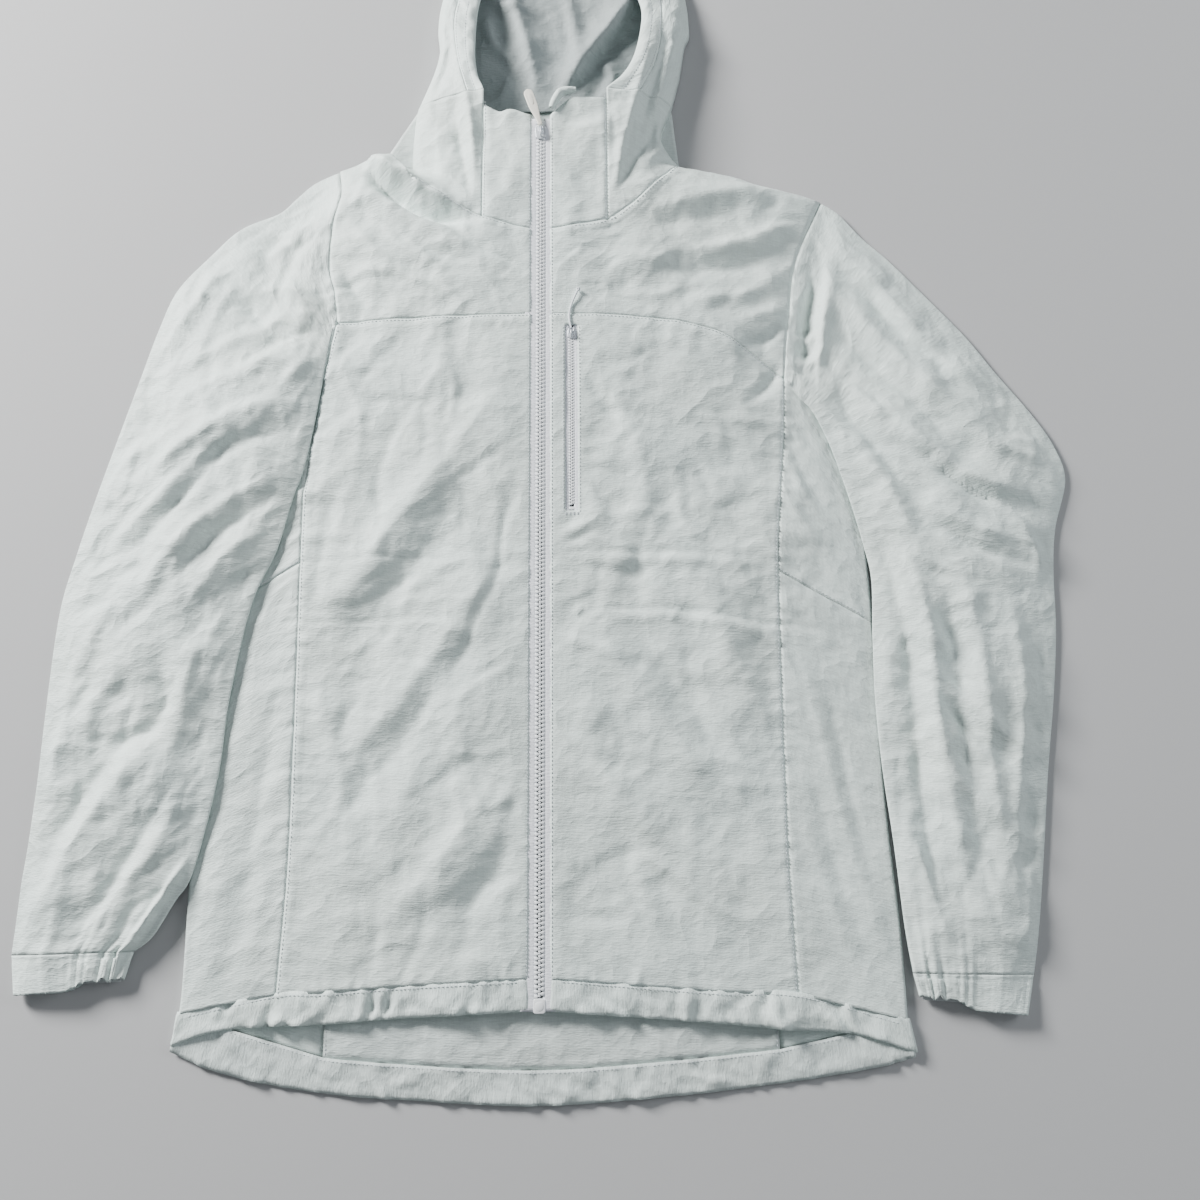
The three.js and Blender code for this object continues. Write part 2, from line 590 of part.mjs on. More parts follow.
function hangLoop() {
  const [width, depth, thickness] = [64, 7, 1];
  const y = 676 * lengthGrade;
  const outer = box(-width / 2, width / 2, y - depth / 2, y + depth / 2, fabric + layerGap,
    fabric + layerGap + thickness);
  add(jacket, 'hang_loop', outer, tapeCloth());
}

// ---- Zips, in the plane of the front

// two plates on a web, with side walls over the teeth and a bridge that the pull hangs on
function sliderBody(zip, x, y) {
  const [long, wide] = [zip.sliderLength / 2, zip.slider];
  const top = zip.toothTop + zip.running;
  const bottom = zip.toothBottom - zip.running;
  const wall = zip.toothOuter + zip.running + 0.05;
  const post = bridgeFrame(zip);
  const parts = [
    box(x - wide, x + wide, y - long, y + long, top, top + zip.plate),
    box(x - wide, x + wide, y - long, y + long, bottom - zip.plate, bottom),
    box(x - zip.web, x + zip.web, y + 0.5, y + long - 0.5, bottom - 0.2, top + 0.2),
    box(x - zip.bridge, x + zip.bridge, y - post.half - post.thick, y - post.half, top + zip.plate - 0.2, post.top),
    box(x - zip.bridge, x + zip.bridge, y + post.half, y + post.half + post.thick, top + zip.plate - 0.2, post.top),
    box(x - zip.bridge, x + zip.bridge, y - post.half - post.thick, y + post.half + post.thick,
      post.top - post.thick, post.top),
  ];
  for (const side of [-1, 1]) {
    const [near, far] = side > 0 ? [x + wall, x + wide] : [x - wide, x - wall];
    parts.push(box(near, far, y - long, y + long, zip.tapeTop + zip.running, top + 0.2));
    parts.push(box(near, far, y - long, y + long, bottom - 0.2, zip.tapeBottom - zip.running));
  }
  return unite(...parts);
}

// the window under the bridge, tall and long enough for the axle to turn in
function bridgeFrame(zip) {
  const floor = zip.toothTop + zip.running + zip.plate;
  const corner = zip.axle * Math.SQRT1_2;
  const axis = floor + corner + layerGap;
  return { axis, half: corner + 2 * layerGap, thick: 1, top: axis + corner + layerGap + 1 };
}

// a link whose cross bar is the axle under the bridge
function pullLink(zip, x, y, reachUp) {
  const { axis, half, thick } = bridgeFrame(zip);
  const r = zip.axle / 2;
  const arm = zip.bridge + layerGap;
  const far = y + half + thick + layerGap;
  return unite(
    box(x - arm - zip.axle, x + arm + zip.axle, y - r, y + r, axis - r, axis + r),
    box(x - arm - zip.axle, x - arm, y - r, far + reachUp, axis - r, axis + r),
    box(x + arm, x + arm + zip.axle, y - r, far + reachUp, axis - r, axis + r),
    box(x - arm - zip.axle, x + arm + zip.axle, far + reachUp - zip.axle, far + reachUp, axis - r, axis + r),
  );
}

const mainSliderY = zipLength - mainZip.sliderLength / 2 - 2;
const retainerTop = 9;

function mainZipper() {
  const zip = mainZip;
  const teethTop = zipLength + 1;
  const pinTop = retainerTop + 5.5;
  for (const side of [-1, 1]) {
    const name = side < 0 ? 'right' : 'left';
    const [a, b] = side < 0 ? [-zip.tapeOuter, -zip.tapeInner] : [zip.tapeInner, zip.tapeOuter];
    add(zipPlane, `zip_tape_${name}`, box(a, b, 0, zipLength + 6, zip.tapeBottom, zip.tapeTop), tapeCloth());
    const [c, d] = side < 0 ? [-zip.toothOuter, -zip.toothInner] : [zip.toothInner, zip.toothOuter];
    const teeth = box(c, d, pinTop + layerGap, teethTop, zip.toothBottom, zip.toothTop);
    add(zipPlane, `zip_teeth_${name}`, teeth, toothPlastic());
    const stop = box(c, d, teethTop + layerGap, teethTop + 3, zip.toothBottom, zip.toothTop);
    add(zipPlane, `zip_top_stop_${name}`, stop, toothPlastic());
  }
  const wide = zip.tapeInner - layerGap;
  const pinInner = 1.3;
  const pinOuter = 3.4;
  const pinBottom = zip.toothBottom + 0.4;
  const pinFace = zip.toothTop - 0.4;
  const slot = box(-pinOuter - layerGap, -pinInner + layerGap, -layerGap, retainerTop + 1,
    pinBottom - layerGap, pinFace + layerGap);
  const retainer = box(-wide, wide, -1.5, retainerTop, zip.toothBottom - 0.4, zip.toothTop + 0.4);
  add(zipPlane, 'zip_retainer_box', cut(retainer, slot), toothPlastic());
  add(zipPlane, 'zip_insertion_pin', box(-pinOuter, -pinInner, 0, pinTop, pinBottom, pinFace), toothPlastic());

  const flapTop = zip.toothBottom - 2 * zip.running - zip.plate - layerGap;
  const flapHalf = zip.tapeOuter + 2;
  const flap = box(-flapHalf, flapHalf, hemDepth / 4, zipLength, flapTop - fabric, flapTop);
  add(zipPlane, 'zip_wind_flap', flap, shell());

  const garage = box(zip.show + 1, zip.show + 12, zipLength + 12, zipLength + 24, layerGap, layerGap + fabric);
  add(zipPlane, 'zip_garage', garage, shell());

  add(zipPlane, 'main_slider', sliderBody(zip, 0, mainSliderY), sliderMetal());
  const linkReach = 2;
  add(zipPlane, 'main_pull_link', pullLink(zip, 0, mainSliderY, linkReach), sliderMetal());
  pullTab(zip, mainSliderY, linkReach);
}

// the flat tab on the link, leaning to the wearer's right as it lies
function pullTab(zip, y, linkReach) {
  const [long, wide, thick, lean] = [36, 8, 2, 19];
  const { axis, half, thick: bar } = bridgeFrame(zip);
  const outline = new THREE.Shape();
  outline.moveTo(-wide / 4, 0);
  outline.lineTo(wide / 4, 0);
  outline.lineTo(wide / 2, long * 0.55);
  outline.lineTo(wide / 2, long - wide / 2);
  outline.absarc(0, long - wide / 2, wide / 2, 0, Math.PI);
  outline.lineTo(-wide / 2, long * 0.55);
  const tab = new THREE.ExtrudeGeometry(outline, { depth: thick, bevelEnabled: false, curveSegments: 6 });
  tab.translate(0, 0, -thick / 2);
  const mesh = add(zipPlane, 'main_pull_tab', tab, pullCloth());
  mesh.position.set(0, y + half + bar + layerGap + linkReach + layerGap, axis);
  mesh.rotation.z = THREE.MathUtils.degToRad(lean);
  mesh.position.y += wide / 4 * Math.sin(mesh.rotation.z);
}

const pocketSliderY = pocketTop * lengthGrade - pocketZip.sliderLength / 2 - 3.4;

function chestPocket() {
  const zip = pocketZip;
  const [bottom, top] = [pocketBottom * lengthGrade, pocketTop * lengthGrade];
  for (const side of [-1, 1]) {
    const name = side < 0 ? 'inner' : 'outer';
    const [a, b] = side < 0 ? [-zip.tapeOuter, -zip.tapeInner] : [zip.tapeInner, zip.tapeOuter];
    const tape = box(pocketX + a, pocketX + b, bottom - 4, top + 4, zip.tapeBottom - 0.4, zip.tapeTop - 0.4);
    add(zipPlane, `pocket_tape_${name}`, tape, tapeCloth());
    const [c, d] = side < 0 ? [-zip.toothOuter, -zip.toothInner] : [zip.toothInner, zip.toothOuter];
    const teeth = box(pocketX + c, pocketX + d, bottom + 4, top - 3, zip.toothBottom, zip.toothTop);
    add(zipPlane, `pocket_teeth_${name}`, teeth, toothPlastic());
  }
  const stop = box(pocketX - zip.toothOuter, pocketX + zip.toothOuter, bottom + 1, bottom + 3.6,
    zip.toothBottom, zip.toothTop);
  add(zipPlane, 'pocket_zip_stop', stop, toothPlastic());

  add(zipPlane, 'pocket_slider', sliderBody(zip, pocketX, pocketSliderY), sliderMetal());
  add(zipPlane, 'pocket_pull_link', pullLink(zip, pocketX, pocketSliderY, 1.5), sliderMetal());
  pocketPull(zip);

  const [x0, x1] = [pocketX - 4, 150 * widthGrade];
  const [y0, y1] = [bottom - 40, top + 8];
  const corners = (y) => line([new THREE.Vector2(x0, y), new THREE.Vector2(x1, y)], 6);
  const grid = plan(corners(y0), line([new THREE.Vector2(x1, y0), new THREE.Vector2(x1, y1)], 4), corners(y1),
    line([new THREE.Vector2(x0, y0), new THREE.Vector2(x0, y1)], 4));
  add(jacket, 'pocket_bag', cloth(grid, (x, y) => frontTop(x, y) - pocketDepth, 1), lining());
}

// the thin cord on the pocket slider and the knot that ends it
function pocketPull(zip) {
  const { axis, half, thick } = bridgeFrame(zip);
  const start = pocketSliderY + half + thick + 2 * layerGap + 1.5;
  const cordRadius = 0.8;
  const knotRadius = 1.9;
  const lying = knotRadius + layerGap;
  const offsets = [[0, 0, axis], [-1.2, 6, axis], [-1.4, 13, axis], [0.2, 20, axis], [2.8, 26.5, lying],
    [5.2, 32, lying]];
  const points = offsets.map(([x, y, z]) => new THREE.Vector3(pocketX + x, start + y, z));
  const section = new THREE.Shape();
  section.absarc(0, 0, cordRadius, 0, 2 * Math.PI);
  const route = new THREE.CatmullRomCurve3(points);
  const cord = new THREE.ExtrudeGeometry(section, { extrudePath: route, steps: 14, curveSegments: 8 });
  add(zipPlane, 'pocket_pull_cord', cord, pullCloth());
  const knot = new THREE.SphereGeometry(knotRadius, 10, 6);
  const end = points.at(-1).clone().sub(points.at(-2)).normalize();
  const place = points.at(-1).clone().addScaledVector(end, knotRadius + layerGap);
  add(zipPlane, 'pocket_pull_knot', knot, pullCloth()).position.copy(place);
}

for (const half of [right, left]) {
  frontPanels(half);
  const { name } = half;
  sidePanel(`side_panel_${name}`, half, half.sideSeamLow, half.sideFoldLow, half.backSeamLow, lowSteps);
  sidePanel(`underarm_gusset_${name}`, half, half.sideSeamHigh, half.sideFoldHigh, half.backSeamHigh, highSteps);
  frontHem(half);
  sleeveCap(half);
  sleeve(half);
  hoodNeck(half);
}
back();
hoodNeckBack();
hoodCrown();
hangLoop();
mainZipper();
chestPocket();

export default jacket;
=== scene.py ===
import math

import bpy
import numpy as np
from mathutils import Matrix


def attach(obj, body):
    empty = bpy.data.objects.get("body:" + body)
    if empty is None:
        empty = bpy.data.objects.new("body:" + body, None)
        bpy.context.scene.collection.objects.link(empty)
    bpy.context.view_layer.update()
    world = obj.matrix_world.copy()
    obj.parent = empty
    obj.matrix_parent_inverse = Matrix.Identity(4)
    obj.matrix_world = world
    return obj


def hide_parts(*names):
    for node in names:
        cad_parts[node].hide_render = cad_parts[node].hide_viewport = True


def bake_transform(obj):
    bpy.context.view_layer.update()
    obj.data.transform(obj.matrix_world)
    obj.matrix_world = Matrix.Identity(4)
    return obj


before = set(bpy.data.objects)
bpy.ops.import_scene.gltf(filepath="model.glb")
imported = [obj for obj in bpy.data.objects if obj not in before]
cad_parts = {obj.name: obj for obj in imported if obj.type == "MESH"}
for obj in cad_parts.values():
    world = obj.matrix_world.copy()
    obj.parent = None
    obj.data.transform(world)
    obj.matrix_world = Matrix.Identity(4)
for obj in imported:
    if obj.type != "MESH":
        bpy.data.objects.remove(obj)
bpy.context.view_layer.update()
mm = 0.001  # every shape below is worked out in millimetres

# A light hooded jacket, zipped up and laid on its back. +X is its left side, +Y its hood.

# camera, floor and lights

camera = {"place": (0.0446, 0.0799, 0.926), "tilt": 13.9, "roll": -0.49, "lens": 36.06}
lamps = [
    {"name": "windowLight", "place": (-2.1, 1.9, 1.15), "size": 0.8, "power": 252, "colour": (1, 0.99, 0.97)},
    {"name": "skyLight", "place": (0.3, -0.3, 2.4), "size": 2.6, "power": 9, "colour": (0.93, 0.98, 1)},
    {"name": "rimLight", "place": (2.1, 0.9, 1.1), "size": 0.9, "power": 22, "colour": (0.93, 0.97, 1)},
]

cameraData = bpy.data.cameras.new("viewCamera")
cameraData.sensor_width = 36
cameraData.lens = camera["lens"]
viewCamera = bpy.data.objects.new("viewCamera", cameraData)
viewCamera.location = camera["place"]
viewCamera.rotation_euler = (math.radians(camera["tilt"]), 0, math.radians(camera["roll"]))
bpy.context.scene.collection.objects.link(viewCamera)
bpy.context.scene.camera = viewCamera

for lamp in lamps:
    lampData = bpy.data.lights.new(lamp["name"], "AREA")
    lampData.energy = lamp["power"]
    lampData.size = lamp["size"]
    lampData.color = lamp["colour"]
    lampObject = bpy.data.objects.new(lamp["name"], lampData)
    lampObject.location = lamp["place"]
    aim = np.array([0.0, 0.4, 0.0]) - np.array(lamp["place"])
    flat = math.hypot(aim[0], aim[1])
    lampObject.rotation_euler = (math.atan2(flat, -aim[2]), 0, math.atan2(-aim[0], aim[1]))
    bpy.context.scene.collection.objects.link(lampObject)

world = bpy.data.worlds.new("studioWorld")
world.use_nodes = True
world.node_tree.nodes["Background"].inputs["Color"].default_value = (0.86, 0.9, 0.95, 1)
world.node_tree.nodes["Background"].inputs["Strength"].default_value = 0.15
bpy.context.scene.world = world
print("camera and lights ready")


# meshes from arrays

def flatFaces(rows, columns, wrap=False):
    # the four corners of every cell of a grid of points, row by row
    i, j = np.meshgrid(np.arange(rows - 1), np.arange(columns if wrap else columns - 1), indexing="ij")
    right = (j + 1) % columns
    return np.stack([i * columns + j, i * columns + right, (i + 1) * columns + right, (i + 1) * columns + j],
                    -1).reshape(-1, 4)


def buildMesh(name, points, groups, uv=None, values=None):
    # one mesh from points in millimetres and groups of faces, each group with one number of corners;
    # uv is one pair for each corner of each face, values one number for each point
    mesh = bpy.data.meshes.new(name)
    points = np.asarray(points, float).reshape(-1, 3)
    corners = np.concatenate([g.ravel() for g in groups])
    sizes = np.concatenate([np.full(len(g), g.shape[1]) for g in groups])
    mesh.vertices.add(len(points))
    mesh.vertices.foreach_set("co", (points * mm).ravel().astype(np.float32))
    mesh.loops.add(len(corners))
    mesh.loops.foreach_set("vertex_index", corners.astype(np.int32))
    mesh.polygons.add(len(sizes))
    mesh.polygons.foreach_set("loop_start", (np.cumsum(sizes) - sizes).astype(np.int32))
    mesh.polygons.foreach_set("use_smooth", np.ones(len(sizes), bool))
    if uv is not None:
        layer = mesh.uv_layers.new(name="cloth")
        layer.data.foreach_set("uv", np.asarray(uv, np.float32).ravel())
    if values is not None:
        for key, column in values.items():
            attribute = mesh.attributes.new(key, "FLOAT", "POINT")
            attribute.data.foreach_set("value", np.asarray(column, np.float32).ravel())
    mesh.update(calc_edges=True)
    mesh.validate()
    made = bpy.data.objects.new(name, mesh)
    bpy.context.scene.collection.objects.link(made)
    return made


def runs(points, axis):
    # how far each point is along its row or column
    gaps = np.linalg.norm(np.diff(points, axis=axis), axis=-1)
    start = np.zeros_like(np.take(gaps, [0], axis=axis))
    return np.concatenate([start, np.cumsum(gaps, axis=axis)], axis=axis)


def runOf(line):
    # how far along a line each of its points is
    return runs(line[None], 1)[0]


def unit(vectors):
    # the same directions, each with a length of one
    return vectors / np.linalg.norm(vectors, axis=-1, keepdims=True)


def closedRows(points):
    # a grid with its first column repeated at its end
    return np.concatenate([points, points[:, :1]], 1)


def cornersOf(grain, i, j):
    # a grid's values at the four corners of the cells in rows i and columns j
    return np.stack([grain[i, j], grain[i, j + 1], grain[i + 1, j + 1], grain[i + 1, j]], 1)


def gridPiece(name, points, wrap=False, grain=None, keep=None, values=None, up=True):
    # a surface through a grid of points; wrap closes each row on itself; grain gives the cloth's
    # own coordinates, else the lengths along rows and columns; keep drops cells
    rows, columns = points.shape[:2]
    faces = flatFaces(rows, columns, wrap)
    around = closedRows(points) if wrap else points
    if grain is None:
        across = runs(around, 1)
        down = np.repeat(runs(around, 0).mean(1, keepdims=True), around.shape[1], 1)
        grain = np.stack([across - across.mean(), down], -1)
    i, j = np.divmod(np.arange(len(faces)), columns if wrap else columns - 1)
    uv = cornersOf(grain, i, j) * mm
    a, b, c = (points.reshape(-1, 3)[faces[:, k]] for k in (0, 1, 2))
    normals = np.cross(b - a, c - a)
    facing = (normals * (a - points.reshape(-1, 3).mean(0))).sum() if wrap else normals[:, 2].sum()
    if (facing < 0) == up:
        faces, uv = faces[:, ::-1], uv[:, ::-1]
    if keep is not None:
        faces, uv = faces[keep], uv[keep]
    return buildMesh(name, points, [faces], uv.reshape(-1, 2), values)


def loopPiece(name, rings):
    # a closed skin through rings of points, each ring with an even number of points; its ends are
    # closed by a ladder between the ring's two halves
    rows, columns = rings.shape[:2]
    faces = flatFaces(rows, columns, True)
    around = closedRows(rings)
    grain = np.stack([runs(around, 1), np.repeat(runs(around, 0).mean(1, keepdims=True), columns + 1, 1)], -1)
    i, j = np.divmod(np.arange(len(faces)), columns)
    k = np.arange(columns // 2 - 1)
    ladder = np.stack([k, columns - 1 - k, columns - 2 - k, k + 1], 1)
    ends = np.concatenate([ladder, (rows - 1) * columns + ladder[:, ::-1]])
    faces = np.concatenate([faces, ends])
    uv = np.concatenate([cornersOf(grain, i, j) * mm, np.zeros((len(ends), 4, 2))])
    p = rings.reshape(-1, 3)
    a, b, c, d = (p[faces[:, k]] for k in range(4))
    inside = (a * np.cross(b, c)).sum() + (a * np.cross(c, d)).sum()
    if inside < 0:
        faces, uv = faces[:, ::-1], uv[:, ::-1]
    return buildMesh(name, p, [faces], uv.reshape(-1, 2))


def pillow(outline, low, high, edge, steps=3):
    # an outline carried up from low to high, its edges rounded by a quarter circle of radius edge;
    # gives points, quads and the triangles of the two end fans
    outline = np.asarray(outline, float)
    ahead, behind = np.roll(outline, -1, 0), np.roll(outline, 1, 0)
    along = unit(ahead - behind)
    inward = np.stack([-along[:, 1], along[:, 0]], 1)
    angle = np.linspace(0, math.pi / 2, steps + 1)
    inset = np.concatenate([edge * (1 - np.sin(angle)), edge * (1 - np.cos(angle))])
    level = np.concatenate([low + edge * (1 - np.cos(angle)), high - edge * (1 - np.sin(angle))])
    rings = [np.column_stack([outline + inward * s, np.full(len(outline), z)]) for s, z in zip(inset, level)]
    count, total = len(outline), len(inset) * len(outline)
    quads = flatFaces(len(inset), count, True)
    middle = outline.mean(0)
    points = np.vstack(rings + [[[*middle, low]], [[*middle, high]]])
    k = np.arange(count)
    after = (k + 1) % count
    top = total - count
    fans = np.concatenate([np.stack([after, k, np.full(count, total)], 1),
                           np.stack([top + k, top + after, np.full(count, total + 1)], 1)])
    return points, quads, fans


def merged(parts):
    # several (points, quads, triangles) as one
    points, quads, fans, start = [], [], [], 0
    for p, q, f in parts:
        points.append(p)
        quads.append(q + start)
        fans.append(f + start)
        start += len(p)
    return np.vstack(points), np.vstack(quads), np.vstack(fans)


def copies(shape, places):
    # one shape at many places; each place is a 3 x 4 matrix of turn and shift
    p, q, f = shape
    places = np.asarray(places, float)
    points = np.einsum("nij,kj->nki", places[:, :, :3], p) + places[:, None, :, 3]
    shift = (np.arange(len(places)) * len(p))[:, None, None]
    return points.reshape(-1, 3), (q[None] + shift).reshape(-1, 4), (f[None] + shift).reshape(-1, 3)


def solidPiece(name, shape):
    points, quads, fans = shape
    return buildMesh(name, points, [g for g in (quads, fans) if len(g)])


def tubeShape(path, radius, sides=10, closed=False, flat=1.0):
    # circles of the given radius carried along a path and turned with it; flat squeezes them in
    # height; a path that is not closed ends in two points
    path = np.asarray(path, float)
    if closed:
        along = np.roll(path, -1, 0) - np.roll(path, 1, 0)
    else:
        along = np.gradient(path, axis=0)
    along = unit(along)
    upward = np.array([0.03, 0.02, 1.0])
    if np.abs(along @ (upward / np.linalg.norm(upward))).max() > 0.9:
        upward = np.array([1.0, 0.05, 0.04])
    aside = unit(np.cross(along, upward))
    above = np.cross(aside, along)
    angle = np.arange(sides) * 2 * math.pi / sides
    radius = np.broadcast_to(np.asarray(radius, float), (len(path), sides)) if np.ndim(radius) == 2 \
        else np.repeat(np.broadcast_to(np.asarray(radius, float), len(path))[:, None], sides, 1)
    ring = (radius * np.cos(angle))[..., None] * aside[:, None] \
        + (radius * np.sin(angle) * flat)[..., None] * above[:, None]
    points = path[:, None] + ring
    rows = len(path)
    if closed:
        i, j = np.meshgrid(np.arange(rows), np.arange(sides), indexing="ij")
        after, right = (i + 1) % rows, (j + 1) % sides
        quads = np.stack([i * sides + j, after * sides + j, after * sides + right, i * sides + right],
                         -1).reshape(-1, 4)
        return points.reshape(-1, 3), quads, np.zeros((0, 3), int)
    quads = flatFaces(rows, sides, True)[:, ::-1]
    k = np.arange(sides)
    after = (k + 1) % sides
    total = rows * sides
    tips = np.vstack([path[:1] - along[:1] * radius[0, 0] * 0.5, path[-1:] + along[-1:] * radius[-1, 0] * 0.5])
    fans = np.concatenate([np.stack([k, after, np.full(sides, total)], 1),
                           np.stack([total - sides + after, total - sides + k, np.full(sides, total + 1)], 1)])
    return np.vstack([points.reshape(-1, 3), tips]), quads, fans


# lines, patches and noise

def evenly(line, count):
    # the same line read at count places, evenly by length
    line = np.asarray(line, float)
    run = runOf(line)
    places = np.linspace(0, run[-1], count)
    return np.stack([np.interp(places, run, line[:, k]) for k in range(line.shape[1])], 1)


def spline(points, places):
    # a Catmull-Rom curve through the points, read at places counted in points
    points = np.asarray(points, float)
    ends = np.vstack([points[:1], points, points[-1:]])
    k = np.minimum(places.astype(int), len(points) - 2)
    t = (places - k)[:, None]
    a, b, c, d = ends[k], ends[k + 1], ends[k + 2], ends[k + 3]
    return 0.5 * (2 * b + (c - a) * t + (2 * a - 5 * b + 4 * c - d) * t**2 + (3 * b - a - 3 * c + d) * t**3)


def smoothLine(points, count=None, step=3.0):
    fine = spline(points, np.linspace(0, len(points) - 1, (len(points) - 1) * 24 + 1))
    if count is None:
        count = max(4, int(runOf(fine)[-1] / step) + 1)
    return evenly(fine, count)


def patch(south, east, north, west):
    # a Coons patch: the two ruled surfaces between opposite edges, less the corners' own blend
    u = np.linspace(0, 1, len(south))[None, :, None]
    v = np.linspace(0, 1, len(west))[:, None, None]
    sides = (1 - v) * south[None] + v * north[None] + (1 - u) * west[:, None] + u * east[:, None]
    low = (1 - u) * south[0] + u * south[-1]
    high = (1 - u) * north[0] + u * north[-1]
    return sides - (1 - v) * low - v * high


def ease(x, start, end):
    # 0 before start, 1 after end, smooth between
    t = np.clip((x - start) / (end - start), 0, 1)
    return t * t * (3 - 2 * t)


def signed(value, power):
    # a power that keeps the value's sign: circles become rounded squares
    return np.sign(value) * np.abs(value) ** power


def noise(x, y, seed):
    # gradient noise: the smooth mix of the slopes at the four corners of a unit cell
    table = np.random.RandomState(seed)
    angle = table.rand(256) * 2 * math.pi
    order = table.permutation(256)
    ix, iy = np.floor(x).astype(int), np.floor(y).astype(int)
    fx, fy = x - ix, y - iy
    sx, sy = fx * fx * fx * (fx * (fx * 6 - 15) + 10), fy * fy * fy * (fy * (fy * 6 - 15) + 10)

    def corner(dx, dy):
        pick = order[(order[(ix + dx) & 255] + iy + dy) & 255]
        return np.cos(angle[pick]) * (fx - dx) + np.sin(angle[pick]) * (fy - dy)

    low = corner(0, 0) * (1 - sx) + corner(1, 0) * sx
    high = corner(0, 1) * (1 - sx) + corner(1, 1) * sx
    return 1.4 * (low * (1 - sy) + high * sy)


def crumple(x, y, size, seed, turn=0.0, stretch=1.0):
    # creased cloth: along three directions, long creases run where a bent noise passes zero, as
    # crests or as troughs by the sign of another noise; flat in between
    total = 0
    for k, (more, weight) in enumerate(((0.1, 1.0), (0.75, 0.6), (-0.7, 0.6))):
        c, s = math.cos(turn + more), math.sin(turn + more)
        p, q = x * c + y * s, -x * s + y * c
        bend = 0.35 * size * noise(p / size / 1.3, q / size / 1.3, seed + 20 + k)
        n = noise(p / size / stretch, (q + bend) / size, seed + 3 * k)
        m = noise(p / size / 1.6 + 11.7, q / size / 1.2 + 5.9, seed + 3 * k + 1)
        total = total + weight * (np.tanh(3.5 * m) * np.exp(-((n / 0.17) ** 2)) + 0.5 * n)
    return total


def nearest(x, y, line, within):
    # the signed distance from each point to a broken line, left of it positive, and how far along
    # the line the nearest place is; points further off than within are only marked as far
    px, py = x.ravel(), y.ravel()
    far, run = np.full(px.size, 1e3), np.zeros(px.size)
    low, high = line.min(0) - within, line.max(0) + within
    near = np.flatnonzero((px > low[0]) & (px < high[0]) & (py > low[1]) & (py < high[1]))
    if near.size:
        q = np.stack([px[near], py[near]], 1)
        best, signed, place, start = np.full(near.size, 1e9), np.zeros(near.size), np.zeros(near.size), 0.0
        for a, b in zip(line[:-1], line[1:]):
            d = b - a
            length = np.linalg.norm(d)
            t = np.clip((q - a) @ d / length**2, 0, 1)
            off = q - a - t[:, None] * d
            gap = np.hypot(off[:, 0], off[:, 1])
            closer = gap < best
            side = np.where(d[0] * off[:, 1] - d[1] * off[:, 0] < 0, -1.0, 1.0)
            best = np.where(closer, gap, best)
            signed = np.where(closer, gap * side, signed)
            place = np.where(closer, start + t * length, place)
            start += length
        far[near], run[near] = signed, place
    return far.reshape(x.shape), run.reshape(x.shape)


def folds(x, y, strokes):
    # the sum of folds, each a crest or trough along a line: height x exp(-|distance / width|^1.5),
    # fading to nothing at both ends; lean makes its left side wider and its right side steeper
    total = np.zeros_like(x)
    for height, width, lean, points in strokes:
        line = smoothLine(points, step=8.0)
        length = runOf(line)[-1]
        d, s = nearest(x, y, line, 4 * width)
        reach = np.where(d > 0, width * (1 + lean), width * (1 - lean))
        fade = np.sin(math.pi * np.clip(s / length, 0.02, 0.98)) ** 0.7
        total += height * np.exp(-np.abs(d / reach) ** 1.5) * fade
    return total


def seamRelief(x, y, seams):
    # every seam is a narrow ditch with the turned-in cloth as a low step on one side, and the cloth
    # beside it is puckered by the thread: height x sin(place / spacing + drift), fading outwards
    total = np.zeros_like(x)
    for seed, seam in enumerate(seams):
        d, s = nearest(x, y, seam["line"], 32)
        close = np.abs(d) < 32
        side = d * seam.get("fold", 1)
        ditch = -seam.get("ditch", 0.4) * np.exp(-(d / 1.2) ** 2)
        step = 0.42 * ease(side, 0.2, 1.4) * (1 - ease(side, seam.get("band", 7), seam.get("band", 7) + 1.6))
        drift = 5 * noise(s / 31, s * 0 + 0.37, 400 + seed) + 0.06 * np.abs(d)
        pucker = 1.25 * seam.get("pucker", 0.55) * np.sin(s * 2 * math.pi / seam.get("spacing", 11) + drift)
        pucker *= 0.55 + 0.9 * noise(s / 23, s * 0 + 2.1, 300 + seed)
        pucker *= np.exp(-np.abs(d) / 8) * ease(np.abs(d), 0, 2)
        total += np.where(close, ditch + step + pucker, 0)
    return total


# the jacket's outlines, in plan, seen from above

build = {
    "hemLoft": 11, "collarLoft": 36, "sideLoft": 5.4, "zipLength": 715, "flatHalf": 20, "hoodSplit": 750,
    "cloth": 1.2, "sleeveLoft": 15, "cuffLoft": 8, "hemDepth": 22, "show": 7.5, "ledge": 14, "ramp": 40,
    "swing": 30, "thread": 0.45, "cell": 2.6,
}
slope = (build["collarLoft"] - build["hemLoft"]) / build["zipLength"]

